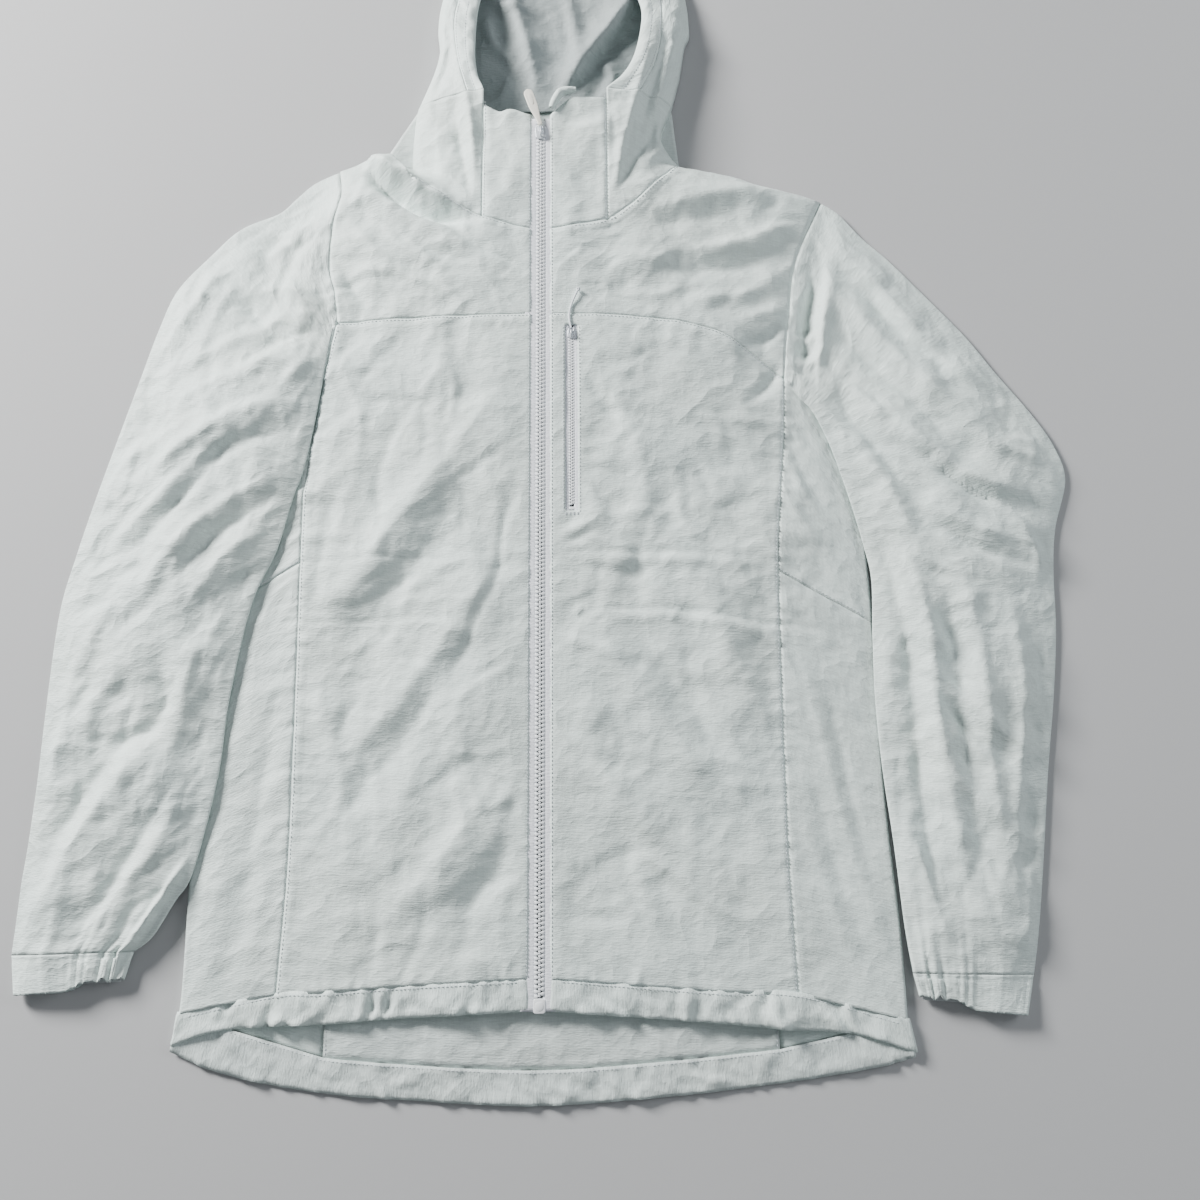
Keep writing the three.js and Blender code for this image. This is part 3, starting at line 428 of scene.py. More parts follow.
right = {
    "side": -1, "name": "Right", "node": "right",
    "sideSeamLow": [[-192, 13], [-188, 101], [-188, 200], [-189, 338]],
    "sideSeamHigh": [[-189, 338], [-189, 395], [-180, 472], [-168, 541]],
    "sideFoldLow": [[-263, 0], [-262, 30], [-263, 150], [-263, 296]],
    "sideFoldHigh": [[-263, 296], [-261, 380], [-255, 470]],
    "backSeamLow": [[-157, -31], [-157, 338]],
    "backSeamHigh": [[-157, 338], [-157, 541]],
    "yokeSeam": [[-168, 541], [-140, 542], [-23, 543]],
    "armhole": [[-168, 541], [-171, 568], [-177, 593], [-175, 632], [-170, 660], [-175, 692]],
    "shoulder": [[-175, 692], [-152, 700], [-137, 705], [-122, 688], [-108, 664]],
    "neckSide": [[-108, 664], [-97, 661], [-75, 646], [-49, 631]],
    "neckFront": [[-49, 631], [-28, 624]],
    "collarSeam": [[-49, 631], [-49, 738]],
    "collarTop": [[-49, 738], [-36, 731], [-25, 731]],
    "hoodNeckEdge": [[-108, 664], [-113, 696], [-112, 735], [-110, 750]],
    "hoodNeckInner": [[-49, 631], [-49, 750]],
    "outerReach": [[-262, 0], [-263, 296], [-255, 470], [-250, 560], [-226, 652], [-197, 681], [-175, 692],
                   [-150, 701], [-136, 707]],
    "hemEdge": [[-98, -4], [-158, -8], [-198, -9], [-238, -13], [-266, -22]],
    "hemSeam": [[-98, 18], [-158, 14]],
    "pivot": [-247, 556],
    "inner": [[-168, 541], [-169.5, 539], [-171, 536], [-172, 532], [-173, 526], [-174, 518], [-175, 508],
              [-177, 494], [-179, 476], [-188, 421], [-198, 387], [-208, 348], [-226, 304], [-239, 230],
              [-244, 171], [-258, 102], [-270, 80], [-285, 55], [-299, 44]],
    "outer": [[-175, 692], [-197, 681], [-212, 667], [-226, 653], [-258, 638], [-283, 612], [-308, 581],
              [-321, 545], [-333, 500], [-346, 451], [-359, 401], [-371, 350], [-380, 302], [-383, 230],
              [-384, 171], [-386, 123], [-388, 95], [-389, 65], [-390, 42]],
    "cuffEnd": [[-384, 14], [-304, 18]],
    "fullElbow": 0.45,
}

left = {
    "side": 1, "name": "Left", "node": "left",
    "sideSeamLow": [[189, 10], [186, 98], [186, 197], [187, 328]],
    "sideSeamHigh": [[187, 328], [190, 373], [196, 431], [199, 491]],
    "sideFoldLow": [[268, -9], [267, 58], [262, 150], [261, 287]],
    "sideFoldHigh": [[261, 287], [259, 350], [252, 430]],
    "backSeamLow": [[174, -28], [174, 328]],
    "backSeamHigh": [[174, 328], [174, 491]],
    "yokeSeam": [[199, 491], [174, 511], [147, 527], [110, 538], [66, 542], [23, 543]],
    "armhole": [[199, 491], [202, 522], [207, 556], [210, 581], [218, 610], [239, 659]],
    "shoulder": [[239, 659], [222, 665], [185, 674], [165, 683], [119, 691]],
    "neckSide": [[119, 691], [100, 668], [82, 648], [56, 627]],
    "neckFront": [[56, 627], [28, 621]],
    "collarSeam": [[56, 627], [56, 744]],
    "collarTop": [[56, 744], [31, 744], [20, 738]],
    "hoodNeckEdge": [[119, 691], [106, 712], [104, 727], [113, 750]],
    "hoodNeckInner": [[56, 627], [56, 750]],
    "outerReach": [[268, -9], [262, 58], [253, 150], [258, 287], [258, 350], [252, 430], [250, 560], [239, 659],
                   [222, 666], [185, 675], [165, 684], [120, 692]],
    "hemEdge": [[99, -7], [138, -10], [177, -14], [229, -18], [272, -31]],
    "hemSeam": [[99, 15], [138, 12]],
    "pivot": [283, 533],
    "inner": [[199, 491], [203, 484], [208, 477], [213, 471], [218, 466], [222, 460], [227, 450], [235, 430],
              [243, 404], [250, 378], [256, 352], [261, 322], [259, 275], [258, 226], [260, 175], [265, 117],
              [269, 58], [273, 24]],
    "outer": [[239, 659], [254, 648], [274, 624], [294, 604], [324, 569], [353, 534], [377, 499], [402, 464],
              [418, 436], [425, 406], [413, 365], [408, 330], [405, 280], [398, 228], [388, 170], [379, 110],
              [370, 55], [363, 22]],
    "cuffEnd": [[355, -6], [277, 1]],
    "fullElbow": 0.35,
}

hoodEdge = [[-110, 750], [-97, 785], [-92, 809], [-94, 834], [-91, 863], [-80, 905], [-50, 944], [0, 964],
            [55, 958], [100, 925], [125, 880], [131, 832], [126, 813], [121, 783], [113, 750]]
brimSeam = [[-63, 750], [-72, 784], [-77, 820], [-75, 851], [-66, 890], [-42, 920], [0, 934], [46, 930],
            [84, 903], [103, 865], [106, 832], [100, 790], [84, 750]]
hoodRim = [[-49, 750], [-55, 769], [-58, 798], [-56, 846], [-47, 876], [-26, 899], [4, 908], [38, 903],
           [68, 884], [86, 850], [86, 816], [76, 778], [56, 750]]
backNeck = [[-137, 705], [-100, 692], [-40, 687], [20, 686], [80, 689], [119, 691]]
tailSeam = [[-157, -31], [-100, -36], [-1, -41], [99, -35], [174, -28]]
tailEdge = [[-268, -26], [-240, -38], [-200, -48], [-149, -56], [-100, -60], [-1, -65], [99, -59], [149, -54],
            [199, -48], [249, -40], [272, -34]]


def reach(points, y):
    # how far out the garment's side is at each y
    points = np.asarray(points, float)
    return np.abs(np.interp(y, points[:, 1], points[:, 0]))


def centreTop(y):
    return build["hemLoft"] + slope * np.clip(y, 0, build["zipLength"] * 1.05)


def frontHeight(x, y):
    # flat beside the zip, then falling as a parabola to the folded side
    outer = np.where(x < 0, reach(right["outerReach"], y), reach(left["outerReach"], y))
    s = np.clip((np.abs(x) - build["flatHalf"]) / (outer - build["flatHalf"]), 0, 1)
    return build["sideLoft"] + (centreTop(y) - build["sideLoft"]) * (1 - s * s)


def ground(half, x, y):
    # what a sleeve lies over: the torso with a ledge and a ramp past its outline, else the floor
    armpit, fold = np.array(half["sideSeamHigh"][-1], float), np.array(half["sideFoldHigh"][-1], float)
    across = np.maximum(0, np.abs(x) - abs(armpit[0]))
    rise = (armpit[1] - fold[1]) / (abs(fold[0]) - abs(armpit[0]))
    out = np.maximum(np.maximum(0, np.abs(x) - reach(half["outerReach"], y)), y - (armpit[1] - across * rise))
    share = np.clip(1 - (out - build["ledge"]) / build["ramp"], 0, 1)
    return frontHeight(x, np.minimum(y, armpit[1])) * share


def sleeveFloor(half, x, y):
    # the highest ground that a point of the sleeve passes over as the sleeve opens
    highest = np.zeros_like(x)
    px, py = half["pivot"]
    for degrees in range(0, build["swing"] + 1, 5):
        angle = half["side"] * math.radians(degrees)
        dx, dy = x - px, y - py
        highest = np.maximum(highest, ground(half, px + dx * math.cos(angle) - dy * math.sin(angle),
                                             py + dx * math.sin(angle) + dy * math.cos(angle)))
    return highest + 0.9 * np.minimum(1, highest / 2)


def onPlane(points):
    # from the zip's sloping plane to the frame
    p = np.asarray(points, float)
    tilt = math.atan(slope)
    y = p[..., 1] * math.cos(tilt) - p[..., 2] * math.sin(tilt)
    z = build["hemLoft"] + p[..., 1] * math.sin(tilt) + p[..., 2] * math.cos(tilt)
    return np.stack([p[..., 0], y, z], -1)


# materials

def newMaterial(name):
    material = bpy.data.materials.new(name)
    material.use_nodes = True
    return material, material.node_tree.nodes, material.node_tree.links, \
        material.node_tree.nodes["Principled BSDF"]


def addNode(nodes, kind, **sockets):
    made = nodes.new(kind)
    for key, value in sockets.items():
        made.inputs[key.replace("_", " ")].default_value = value
    return made


def addRelief(nodes, links, shader, height, strength, distance):
    # a height in parts of the distance, in metres, turned into the surface's direction
    relief = addNode(nodes, "ShaderNodeBump", Strength=strength, Distance=distance)
    links.new(height, relief.inputs["Height"])
    links.new(relief.outputs["Normal"], shader.inputs["Normal"])


def addPolish(nodes, links, shader, source, least, most):
    # a roughness that follows a noise between two values
    polish = addNode(nodes, "ShaderNodeMapRange", To_Min=least, To_Max=most)
    links.new(source, polish.inputs["Value"])
    links.new(polish.outputs[0], shader.inputs["Roughness"])


weave = {"thread": 0.00055, "rib": 0.0011, "ripstop": 0.0042, "bump": 0.004, "cool": (0.975, 1.0, 1.015),
         "warm": (1.015, 0.998, 0.98)}


def clothMaterial(name, colour, rough=0.58, bump=1.0, streaks=1.0, creases=1.0):
    # woven nylon: colour = base x (slow mottling + short streaks along both threads + ripstop
    # lines); height = threads + crinkles; both on the cloth's own coordinates, in metres
    material, nodes, links, shader = newMaterial(name)
    uv = nodes.new("ShaderNodeUVMap")
    uv.uv_map = "cloth"

    def stretched(across, along, detail=2.0):
        mapping = addNode(nodes, "ShaderNodeMapping", Scale=(across, along, 1))
        links.new(uv.outputs["UV"], mapping.inputs["Vector"])
        texture = addNode(nodes, "ShaderNodeTexNoise", Scale=1.0, Detail=detail, Roughness=0.6)
        links.new(mapping.outputs["Vector"], texture.inputs["Vector"])
        return texture.outputs["Fac"]

    def bands(direction, size):
        texture = addNode(nodes, "ShaderNodeTexWave", Scale=0.314 / size, Distortion=0.6, Detail_Scale=0.6)
        texture.bands_direction = direction
        links.new(uv.outputs["UV"], texture.inputs["Vector"])
        return texture.outputs["Fac"]

    def combine(operation, a, b):
        made = nodes.new("ShaderNodeMath")
        made.operation = operation
        for socket, value in zip(made.inputs, (a, b)):
            if isinstance(value, (int, float)):
                socket.default_value = value
            else:
                links.new(value, socket)
        return made.outputs[0]

    def weighted(*terms):
        # the sum of value x weight
        parts = [combine("MULTIPLY", value, weight) for value, weight in terms]
        total = parts[0]
        for part in parts[1:]:
            total = combine("ADD", total, part)
        return total

    def crease(across, along):
        # a sharp crest wherever the noise passes its middle
        off = combine("ABSOLUTE", combine("SUBTRACT", stretched(across, along, 1.0), 0.5), 0)
        return combine("SUBTRACT", 0.5, off)

    mottle = stretched(30, 30, 4.0)
    layers = nodes.new("ShaderNodeAttribute")
    layers.attribute_name = "layers"
    ripstop = combine("MULTIPLY", bands("X", weave["ripstop"]), bands("Y", weave["ripstop"]))
    tone = weighted((stretched(90, 900, 3.0), 0.34 * streaks), (stretched(900, 110, 3.0), 0.2 * streaks),
                    (mottle, 0.16), (ripstop, 0.03), (layers.outputs["Fac"], 0.06))
    tone = combine("ADD", tone, 0.92 - 0.27 * streaks)
    hue = nodes.new("ShaderNodeMixRGB")
    for socket, tint in ((1, weave["cool"]), (2, weave["warm"])):
        hue.inputs[socket].default_value = (*[c * f for c, f in zip(colour, tint)], 1)
    links.new(stretched(7, 9, 1.0), hue.inputs[0])
    shade = nodes.new("ShaderNodeVectorMath")
    shade.operation = "SCALE"
    links.new(hue.outputs[0], shade.inputs[0])
    links.new(tone, shade.inputs["Scale"])
    links.new(shade.outputs[0], shader.inputs["Base Color"])

    threads = combine("ADD", bands("X", weave["thread"]), bands("Y", weave["thread"]))
    ribs = combine("MULTIPLY", bands("Y", weave["rib"]), stretched(60, 200))
    height = weighted((threads, 0.0025), (ribs, 0.018), (stretched(180, 760, 3.0), 0.13 * bump),
                      (stretched(420, 420), 0.05 * bump), (crease(24, 28), 1.9 * creases),
                      (crease(62, 75), 0.55 * creases))
    addRelief(nodes, links, shader, height, 1.0, weave["bump"])
    addPolish(nodes, links, shader, mottle, rough - 0.08, rough + 0.1)
    for socket, value in (("Specular IOR Level", 0.35), ("Sheen Weight", 0.1), ("Sheen Roughness", 0.4)):
        shader.inputs[socket].default_value = value
    return material


def hardMaterial(name, colour, rough=0.35, metallic=0.0, grain=2500, wear=0.05):
    # moulded plastic or painted metal: colour with faint clouding, a fine pebble in the surface
    material, nodes, links, shader = newMaterial(name)
    place = nodes.new("ShaderNodeTexCoord")
    cloud = addNode(nodes, "ShaderNodeTexNoise", Scale=180.0, Detail=3.0)
    pebble = addNode(nodes, "ShaderNodeTexNoise", Scale=float(grain), Detail=2.0)
    for texture in (cloud, pebble):
        links.new(place.outputs["Object"], texture.inputs["Vector"])
    ramp = nodes.new("ShaderNodeValToRGB")
    ramp.color_ramp.elements[0].color = (*[c * (1 - wear * 2) for c in colour], 1)
    ramp.color_ramp.elements[1].color = (*[min(1, c * (1 + wear)) for c in colour], 1)
    links.new(cloud.outputs["Fac"], ramp.inputs["Fac"])
    links.new(ramp.outputs["Color"], shader.inputs["Base Color"])
    addRelief(nodes, links, shader, pebble.outputs["Fac"], 0.35, 0.00006)
    addPolish(nodes, links, shader, cloud.outputs["Fac"], rough - 0.07, rough + 0.12)
    shader.inputs["Metallic"].default_value = metallic
    return material


paleGrey = (0.672, 0.762, 0.737)
finishes = {
    "shell": clothMaterial("shellNylon", paleGrey, creases=0.62),
    "crumpled": clothMaterial("shellNylonCrumpled", paleGrey, creases=0.8),
    "inside": clothMaterial("shellNylonInside", (0.585, 0.655, 0.64), rough=0.66, creases=0.7),
    # painted shade: the hood's inside is the shell cloth at about half its colour, standing in for the shade under
    # the hood's rim
    "paintedHoodShade": clothMaterial("hoodInsideNylonPaintedShade", (0.315, 0.36, 0.365), rough=0.66, creases=0.7),
    "tape": clothMaterial("zipTapeWeave", (0.87, 0.89, 0.95), rough=0.72, bump=0.8, streaks=0.4, creases=0.1),
    "teeth": hardMaterial("zipTeethPlastic", (0.9, 0.93, 0.97), rough=0.36),
    "slider": hardMaterial("sliderPaint", (0.7, 0.74, 0.79), rough=0.34, metallic=0.25),
    "tab": hardMaterial("pullTabRubber", (0.86, 0.84, 0.76), rough=0.5, grain=1400),
    "cord": clothMaterial("pullCordBraid", (0.74, 0.78, 0.82), rough=0.7, bump=0.3, streaks=0.6, creases=0),
    "elastic": clothMaterial("cuffElastic", (0.62, 0.65, 0.66), rough=0.75, creases=0),
    "mesh": clothMaterial("pocketMesh", (0.55, 0.59, 0.6), rough=0.8),
    "thread": hardMaterial("sewingThread", (0.60, 0.64, 0.68), rough=0.6, grain=5000, wear=0.08),
    "floor": hardMaterial("paleFloor", (0.44, 0.445, 0.455), rough=0.75, grain=60, wear=0.01),
}

# which record slot each finish belongs to
slots = {"tape": "zip_tape", "teeth": "zip_plastic", "slider": "slider", "tab": "pull_tab", "cord": "pull_cord",
         "elastic": "elastic", "mesh": "pocket_mesh",
         **dict.fromkeys(("shell", "crumpled", "inside", "paintedHoodShade", "thread"), "shell_fabric")}

floorPlane = {"size": 6.0, "middle": (0, 0.4, -0.0006)}
bpy.ops.mesh.primitive_plane_add(size=floorPlane["size"], location=floorPlane["middle"])
floor = bpy.context.object
floor.name = "floor"
floor.data.materials.append(finishes["floor"])


def settle(piece, finish, body, replaced=(), over=None):
    # give a piece its finish and tie it to its body; a piece that spans a joint between two bodies is only baked in
    # place, untied
    piece.data.materials.clear()
    piece.data.materials.append(finishes[finish])
    if over is None:
        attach(piece, body)
    else:
        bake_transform(piece)
    if replaced:
        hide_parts(*replaced)
    return piece


def thicken(piece, thickness=None):
    # a second skin under the first, joined round the edges
    solid = piece.modifiers.new("cloth", "SOLIDIFY")
    solid.thickness = (thickness or build["thread"]) * mm
    solid.offset = -1
    return piece


# the pocket zip's pull cord, before everything else that is made

pullCord = {"start": 529.936, "link": 1.236, "lying": 2.2, "radius": 0.8, "pocketX": 25, "sides": 24, "braid": 1.9,
            "knot": 0.42, "strand": 0.62}
link, lying = pullCord["link"], pullCord["lying"]
cordOffsets = [[0, 0, link], [-1.2, 6, link], [-1.4, 13, link], [0.2, 20, link], [2.8, 26.5, lying],
               [5.2, 32, lying]]
cordPoints = onPlane([[pullCord["pocketX"] + x, pullCord["start"] + y, z] for x, y, z in cordOffsets])
cordRoute = evenly(spline(cordPoints, np.linspace(0, len(cordPoints) - 1, 200)), 240)
cordRun = runOf(cordRoute)
cordAngle = np.arange(pullCord["sides"]) * 2 * math.pi / pullCord["sides"]
# braided skin: two crossing sets of strands, each a rounded rib
leftHand, rightHand = (np.abs(np.sin(1.5 * (cordAngle[None] + way * cordRun[:, None] * pullCord["braid"])))
                       for way in (1, -1))
cordSkin = pullCord["radius"] * (0.9 + 0.13 * np.maximum(leftHand, rightHand))
cordPiece = solidPiece("pocketPullCord", tubeShape(cordRoute, cordSkin, pullCord["sides"]))
settle(cordPiece, "cord", "pocket_pull", ["pocket_pull_cord"])
knotTurn = np.linspace(0, 2 * math.pi, 96, endpoint=False)
knotCentre = cordPoints[-1] + unit(cordPoints[-1] - cordPoints[-2]) * 1.6
# a trefoil: two turns round a ring while the strand passes three times over and under
knotReach = 2 + np.cos(3 * knotTurn)
knotPath = pullCord["knot"] * np.stack([knotReach * np.cos(2 * knotTurn), knotReach * np.sin(2 * knotTurn),
                                        1.6 * np.sin(3 * knotTurn)], 1)
knotPiece = solidPiece("pocketPullKnot", tubeShape(knotCentre + knotPath, pullCord["strand"], 12, closed=True))
settle(knotPiece, "cord", "pocket_pull", ["pocket_pull_knot"])
print("cord ready")


# the lie of the cloth

def seamLine(points):
    return smoothLine(points, step=4.0)


def sideSeamOf(half):
    return half["sideSeamLow"] + half["sideSeamHigh"][1:]


def hemSeamOf(half):
    return [[half["side"] * build["show"], build["hemDepth"]], *half["hemSeam"], half["sideSeamLow"][0]]


def yokeLineOf(half):
    return [*half["yokeSeam"], [half["side"] * build["show"], 544]]


torsoSeams = []
for half in (right, left):
    side = half["side"]
    torsoSeams += [
        {"line": seamLine(yokeLineOf(half)), "fold": side, "pucker": 0.35, "spacing": 13},
        {"line": seamLine(sideSeamOf(half)), "fold": side, "pucker": 0.8,
         "spacing": 10, "band": 6},
        {"line": seamLine(half["armhole"]), "fold": -side, "pucker": 0.6},
        {"line": seamLine(half["collarSeam"]), "fold": side, "pucker": 0.3, "spacing": 9},
        {"line": seamLine(half["neckSide"] + half["neckFront"][1:] + [[side * 7.5, 619]]), "fold": side,
         "pucker": 0.5, "spacing": 9, "band": 5},
        {"line": seamLine(hemSeamOf(half)), "fold": -side, "pucker": 0.7, "spacing": 12, "band": 1},
        {"line": seamLine([half["sideSeamLow"][-1], half["sideFoldLow"][-1]]), "fold": side, "pucker": 0.35,
         "spacing": 12, "band": 6},
    ]

torsoFolds = [
    # the long soft diagonals of the two fronts
    (3.4, 17, 0.2, [[-18, 505], [-75, 420], [-140, 335], [-185, 285]]),
    (-2.4, 14, 0, [[-45, 420], [-100, 335], [-160, 262]]),
    (2.2, 13, 0.1, [[-35, 330], [-90, 250], [-150, 180]]),
    (-2.0, 12, 0, [[-60, 260], [-110, 190], [-165, 120]]),
    (2.3, 12, 0.2, [[-30, 170], [-80, 100], [-135, 45]]),
    (-1.7, 10, 0, [[-20, 120], [-60, 60]]),
    (1.8, 9, 0, [[-178, 255], [-152, 180], [-140, 100]]),
    (2.4, 13, 0.2, [[60, 405], [100, 350], [145, 295]]),
    (2.8, 14, 0.1, [[28, 305], [80, 230], [130, 155]]),
    (-2.2, 12, 0, [[60, 300], [110, 230], [155, 165]]),
    (2.2, 12, 0.1, [[110, 335], [150, 262], [178, 195]]),
    (2.2, 11, 0, [[28, 205], [70, 140], [125, 85]]),
    (-1.9, 11, 0, [[40, 160], [80, 100], [115, 52]]),
    (1.6, 9, 0, [[60, 480], [80, 420], [85, 370]]),
    # right chest and shoulder
    (2.3, 8, 0.2, [[-166, 640], [-125, 590], [-80, 565]]),
    (-2.6, 8, 0, [[-160, 655], [-115, 612], [-60, 590]]),
    (2.0, 7, 0, [[-150, 662], [-100, 630], [-58, 602]]),
    (-2.6, 6, 0, [[-170, 600], [-155, 570], [-138, 552]]),
    (1.7, 6, 0, [[-169, 575], [-145, 585], [-118, 583]]),
    (8.5, 9, 0.3, [[-160, 706], [-143, 692], [-126, 676], [-104, 664]]),
    (-10.0, 7, 0.25, [[-150, 688], [-135, 666], [-112, 645], [-90, 633], [-60, 628]]),
    (4.2, 5, 0, [[-118, 680], [-103, 661], [-84, 649], [-62, 638]]),
    (2.4, 7, 0, [[-150, 655], [-128, 622], [-100, 592]]),
    (2.2, 7, 0, [[-132, 640], [-100, 600], [-66, 568]]),
    (2.3, 10, 0, [[-165, 668], [-130, 648], [-88, 626]]),
    (1.8, 6, 0.3, [[-150, 690], [-150, 665], [-160, 640]]),
    # left chest and shoulder
    (3.0, 7, 0.3, [[222, 640], [170, 614], [105, 598]]),
    (-2.4, 9, 0, [[214, 612], [160, 590], [100, 585]]),
    (2.2, 8, 0, [[207, 585], [162, 562], [118, 556]]),
    (-2.1, 9, 0, [[195, 652], [140, 636], [80, 622]]),
    (2.2, 9, 0, [[190, 668], [140, 655], [95, 640]]),
    (-2.4, 5, 0, [[203, 540], [185, 524], [165, 521]]),
    (1.8, 5, 0, [[204, 555], [180, 545], [160, 540]]),
    (-2.4, 5, 0, [[198, 505], [185, 485], [170, 470]]),
    # sides
    (2.4, 7, 0.3, [[200, 275], [225, 150], [245, 70], [258, 18]]),
    (-2.2, 6, 0, [[214, 270], [236, 150], [250, 75]]),
    (1.9, 6, 0, [[195, 150], [215, 80], [233, 20]]),
    (-1.9, 5, 0, [[205, 175], [222, 100], [240, 40]]),
    (-2.6, 8, 0, [[-200, 250], [-213, 150], [-222, 60]]),
    (2.4, 9, 0, [[-236, 140], [-241, 60], [-238, 10]]),
    (1.7, 7, 0, [[-204, 105], [-212, 40]]),
    (-1.6, 6, 0, [[200, 440], [215, 400], [235, 370]]),
    (1.6, 6, 0, [[195, 400], [215, 360], [240, 335]]),
    # creases pressed in by folding, and small ones at the pocket's foot
    (-0.8, 1.6, 0, [[12, 341], [60, 343], [110, 342], [186, 338]]),
    (1.0, 4.5, 0, [[14, 334], [60, 336], [110, 335], [180, 331]]),
    (-0.9, 1.6, 0, [[36, 302], [70, 297], [104, 297], [190, 284], [250, 282]]),
    (1.1, 4.5, 0, [[36, 295], [70, 290], [104, 290], [190, 277]]),
    (1.2, 1.7, 0, [[26, 292], [33, 300]]),
    (1.3, 1.7, 0, [[100, 288], [108, 298]]),
    (-0.7, 1.6, 0, [[-58, 338], [-110, 340], [-186, 337]]),
    (-0.7, 1.6, 0, [[-60, 292], [-120, 291], [-190, 288]]),
    (1.2, 3.0, 0, [[6, 352], [28, 361], [48, 371]]),
    (-1.1, 2.6, 0, [[3, 345], [26, 352], [44, 361]]),
    (-1.0, 2.5, 0, [[8, 366], [20, 366], [34, 374]]),
]


def sleeveEdgeX(half, y):
    inner = np.array(half["inner"], float)[::-1]
    return np.abs(np.interp(y, inner[:, 1], inner[:, 0]))


frontCloth = {"body": (48, (31, 0.93), (32, -0.96)), "chest": (40, (33, -0.85), (34, 0.4)), "chestFrom": (535, 560),
              "small": (23, 41, 0.4, 1.5), "roll": 0.75, "ripple": 0.35}


def frontCreases(x, y, size, rightSet, leftSet):
    # long creases, with a seed and a direction for each front
    return np.where(x < 0, crumple(x, y, size, *rightSet, 2.4), crumple(x, y, size, *leftSet, 2.4))


def torsoHeight(x, y):
    # the front's own slope, then folds, crumples and seams; quiet beside the zip, and pressed
    # flat where a sleeve lies on it
    base = frontHeight(x, y)
    free = ease(np.abs(x), 8, 32)
    # the pocket's zip keeps the cloth round it flat
    free = free * (1 - 0.85 * np.exp(-(((x - 28) / 11) ** 4)) * ease(y, 362, 378) * (1 - ease(y, 570, 590)))
    loft = np.clip((base - build["sideLoft"]) / 9, 0.42, 1)
    broad = 2.6 * noise(x / 88 + 3.1, y / 96, 21) + 1.6 * noise(x / 41, y / 52, 22)
    chest = ease(y, *frontCloth["chestFrom"])
    drape = frontCreases(x, y, *frontCloth["body"]) * (1 - chest) + chest * frontCreases(x, y, *frontCloth["chest"])
    small = 0.45 * crumple(x, y, *frontCloth["small"])
    relief = broad + 2.2 * drape + 1.5 * small + 1.8 * folds(x, y, torsoFolds)
    covered = np.zeros_like(x)
    for half in (right, left):
        top = half["inner"][0][1]
        over = ease(np.abs(x) - sleeveEdgeX(half, y), 3, 16) * (1 - ease(y, top - 14, top + 2))
        covered = np.maximum(covered, np.where(x * half["side"] > 0, over, 0))
    relief = relief * free * loft
    relief = relief * (1 - covered) + np.minimum(relief, 0) * 0.5 * covered
    edge = np.clip(np.abs(x) - build["show"], 0, 1.6) / 1.6
    roll = -frontCloth["roll"] * (1 - edge) ** 2 * (y < build["zipLength"] + 20)
    ripple = frontCloth["ripple"] * np.sin(y / 2.6 + 4 * noise(y / 35, y * 0 + 0.4 + np.sign(x), 51)) \
        * np.exp(-np.abs(np.abs(x) - 11) / 5) * (0.6 + noise(y / 28, y * 0 + 5.5, 52))
    return base + relief + roll + ripple + seamRelief(x, y, torsoSeams) * (1 - 0.7 * covered)


def doubled(x, y):
    # 1 where turned-in cloth lies under the surface, which makes thin cloth look paler
    total = np.zeros_like(x)
    for seam in torsoSeams:
        side = nearest(x, y, seam["line"], 12)[0] * seam.get("fold", 1)
        width = max(seam.get("band", 7), 3)
        total = np.maximum(total, ease(side, -0.5, 0.5) * (1 - ease(side, width - 0.5, width + 0.7)))
    return total


def sew(piece, finish, body, replaced, over=None, thickness=None):
    # thicken a sheet of cloth and tie it to its body, or bake it in place where it spans a joint
    settle(thicken(piece, thickness), finish, body, replaced, over)


def plainCloth(name, grid, height, replaced, finish="shell", body="torso", over=None, cells=None):
    # one sewn panel: a plan grid lifted to its height and thickened
    x, y = grid[..., 0], grid[..., 1]
    points = np.dstack([x, y, height(x, y)])
    piece = gridPiece(name, points, grain=grid, keep=cells, values={"layers": doubled(x, y)})
    sew(piece, finish, body, replaced, over)


def counts(*lengths):
    # how many points a row of cloth needs for each length
    return [max(4, int(length / build["cell"]) + 1) for length in lengths]


# front panels, yokes and collar

pocket = {"x": 25, "bottom": 376, "top": 533, "show": 5}


def pocketSlot(grid):
    # draw the nearest columns and rows onto the slot's edges and say which cells stay
    x, y = grid[..., 0].copy(), grid[..., 1].copy()
    rows, columns = x.shape
    middle = int(np.argmin(np.abs(y[:, 0] - 450)))
    sides = pocket["x"] - pocket["show"], pocket["x"] + pocket["show"]
    first, last = (int(np.argmin(np.abs(x[middle] - at))) for at in sides)
    low, high = (int(np.argmin(np.abs(y[:, first] - pocket[at]))) for at in ("bottom", "top"))
    for column, at in ((first, sides[0]), (last, sides[1])):
        x[low - 1:high + 2, column] = at
    for row, at in ((low, "bottom"), (high, "top")):
        y[row, first:last + 1] = pocket[at]
    i, j = np.divmod(np.arange((rows - 1) * (columns - 1)), columns - 1)
    hole = (i >= low) & (i < high) & (j >= first) & (j < last)
    return np.dstack([x, y]), ~hole


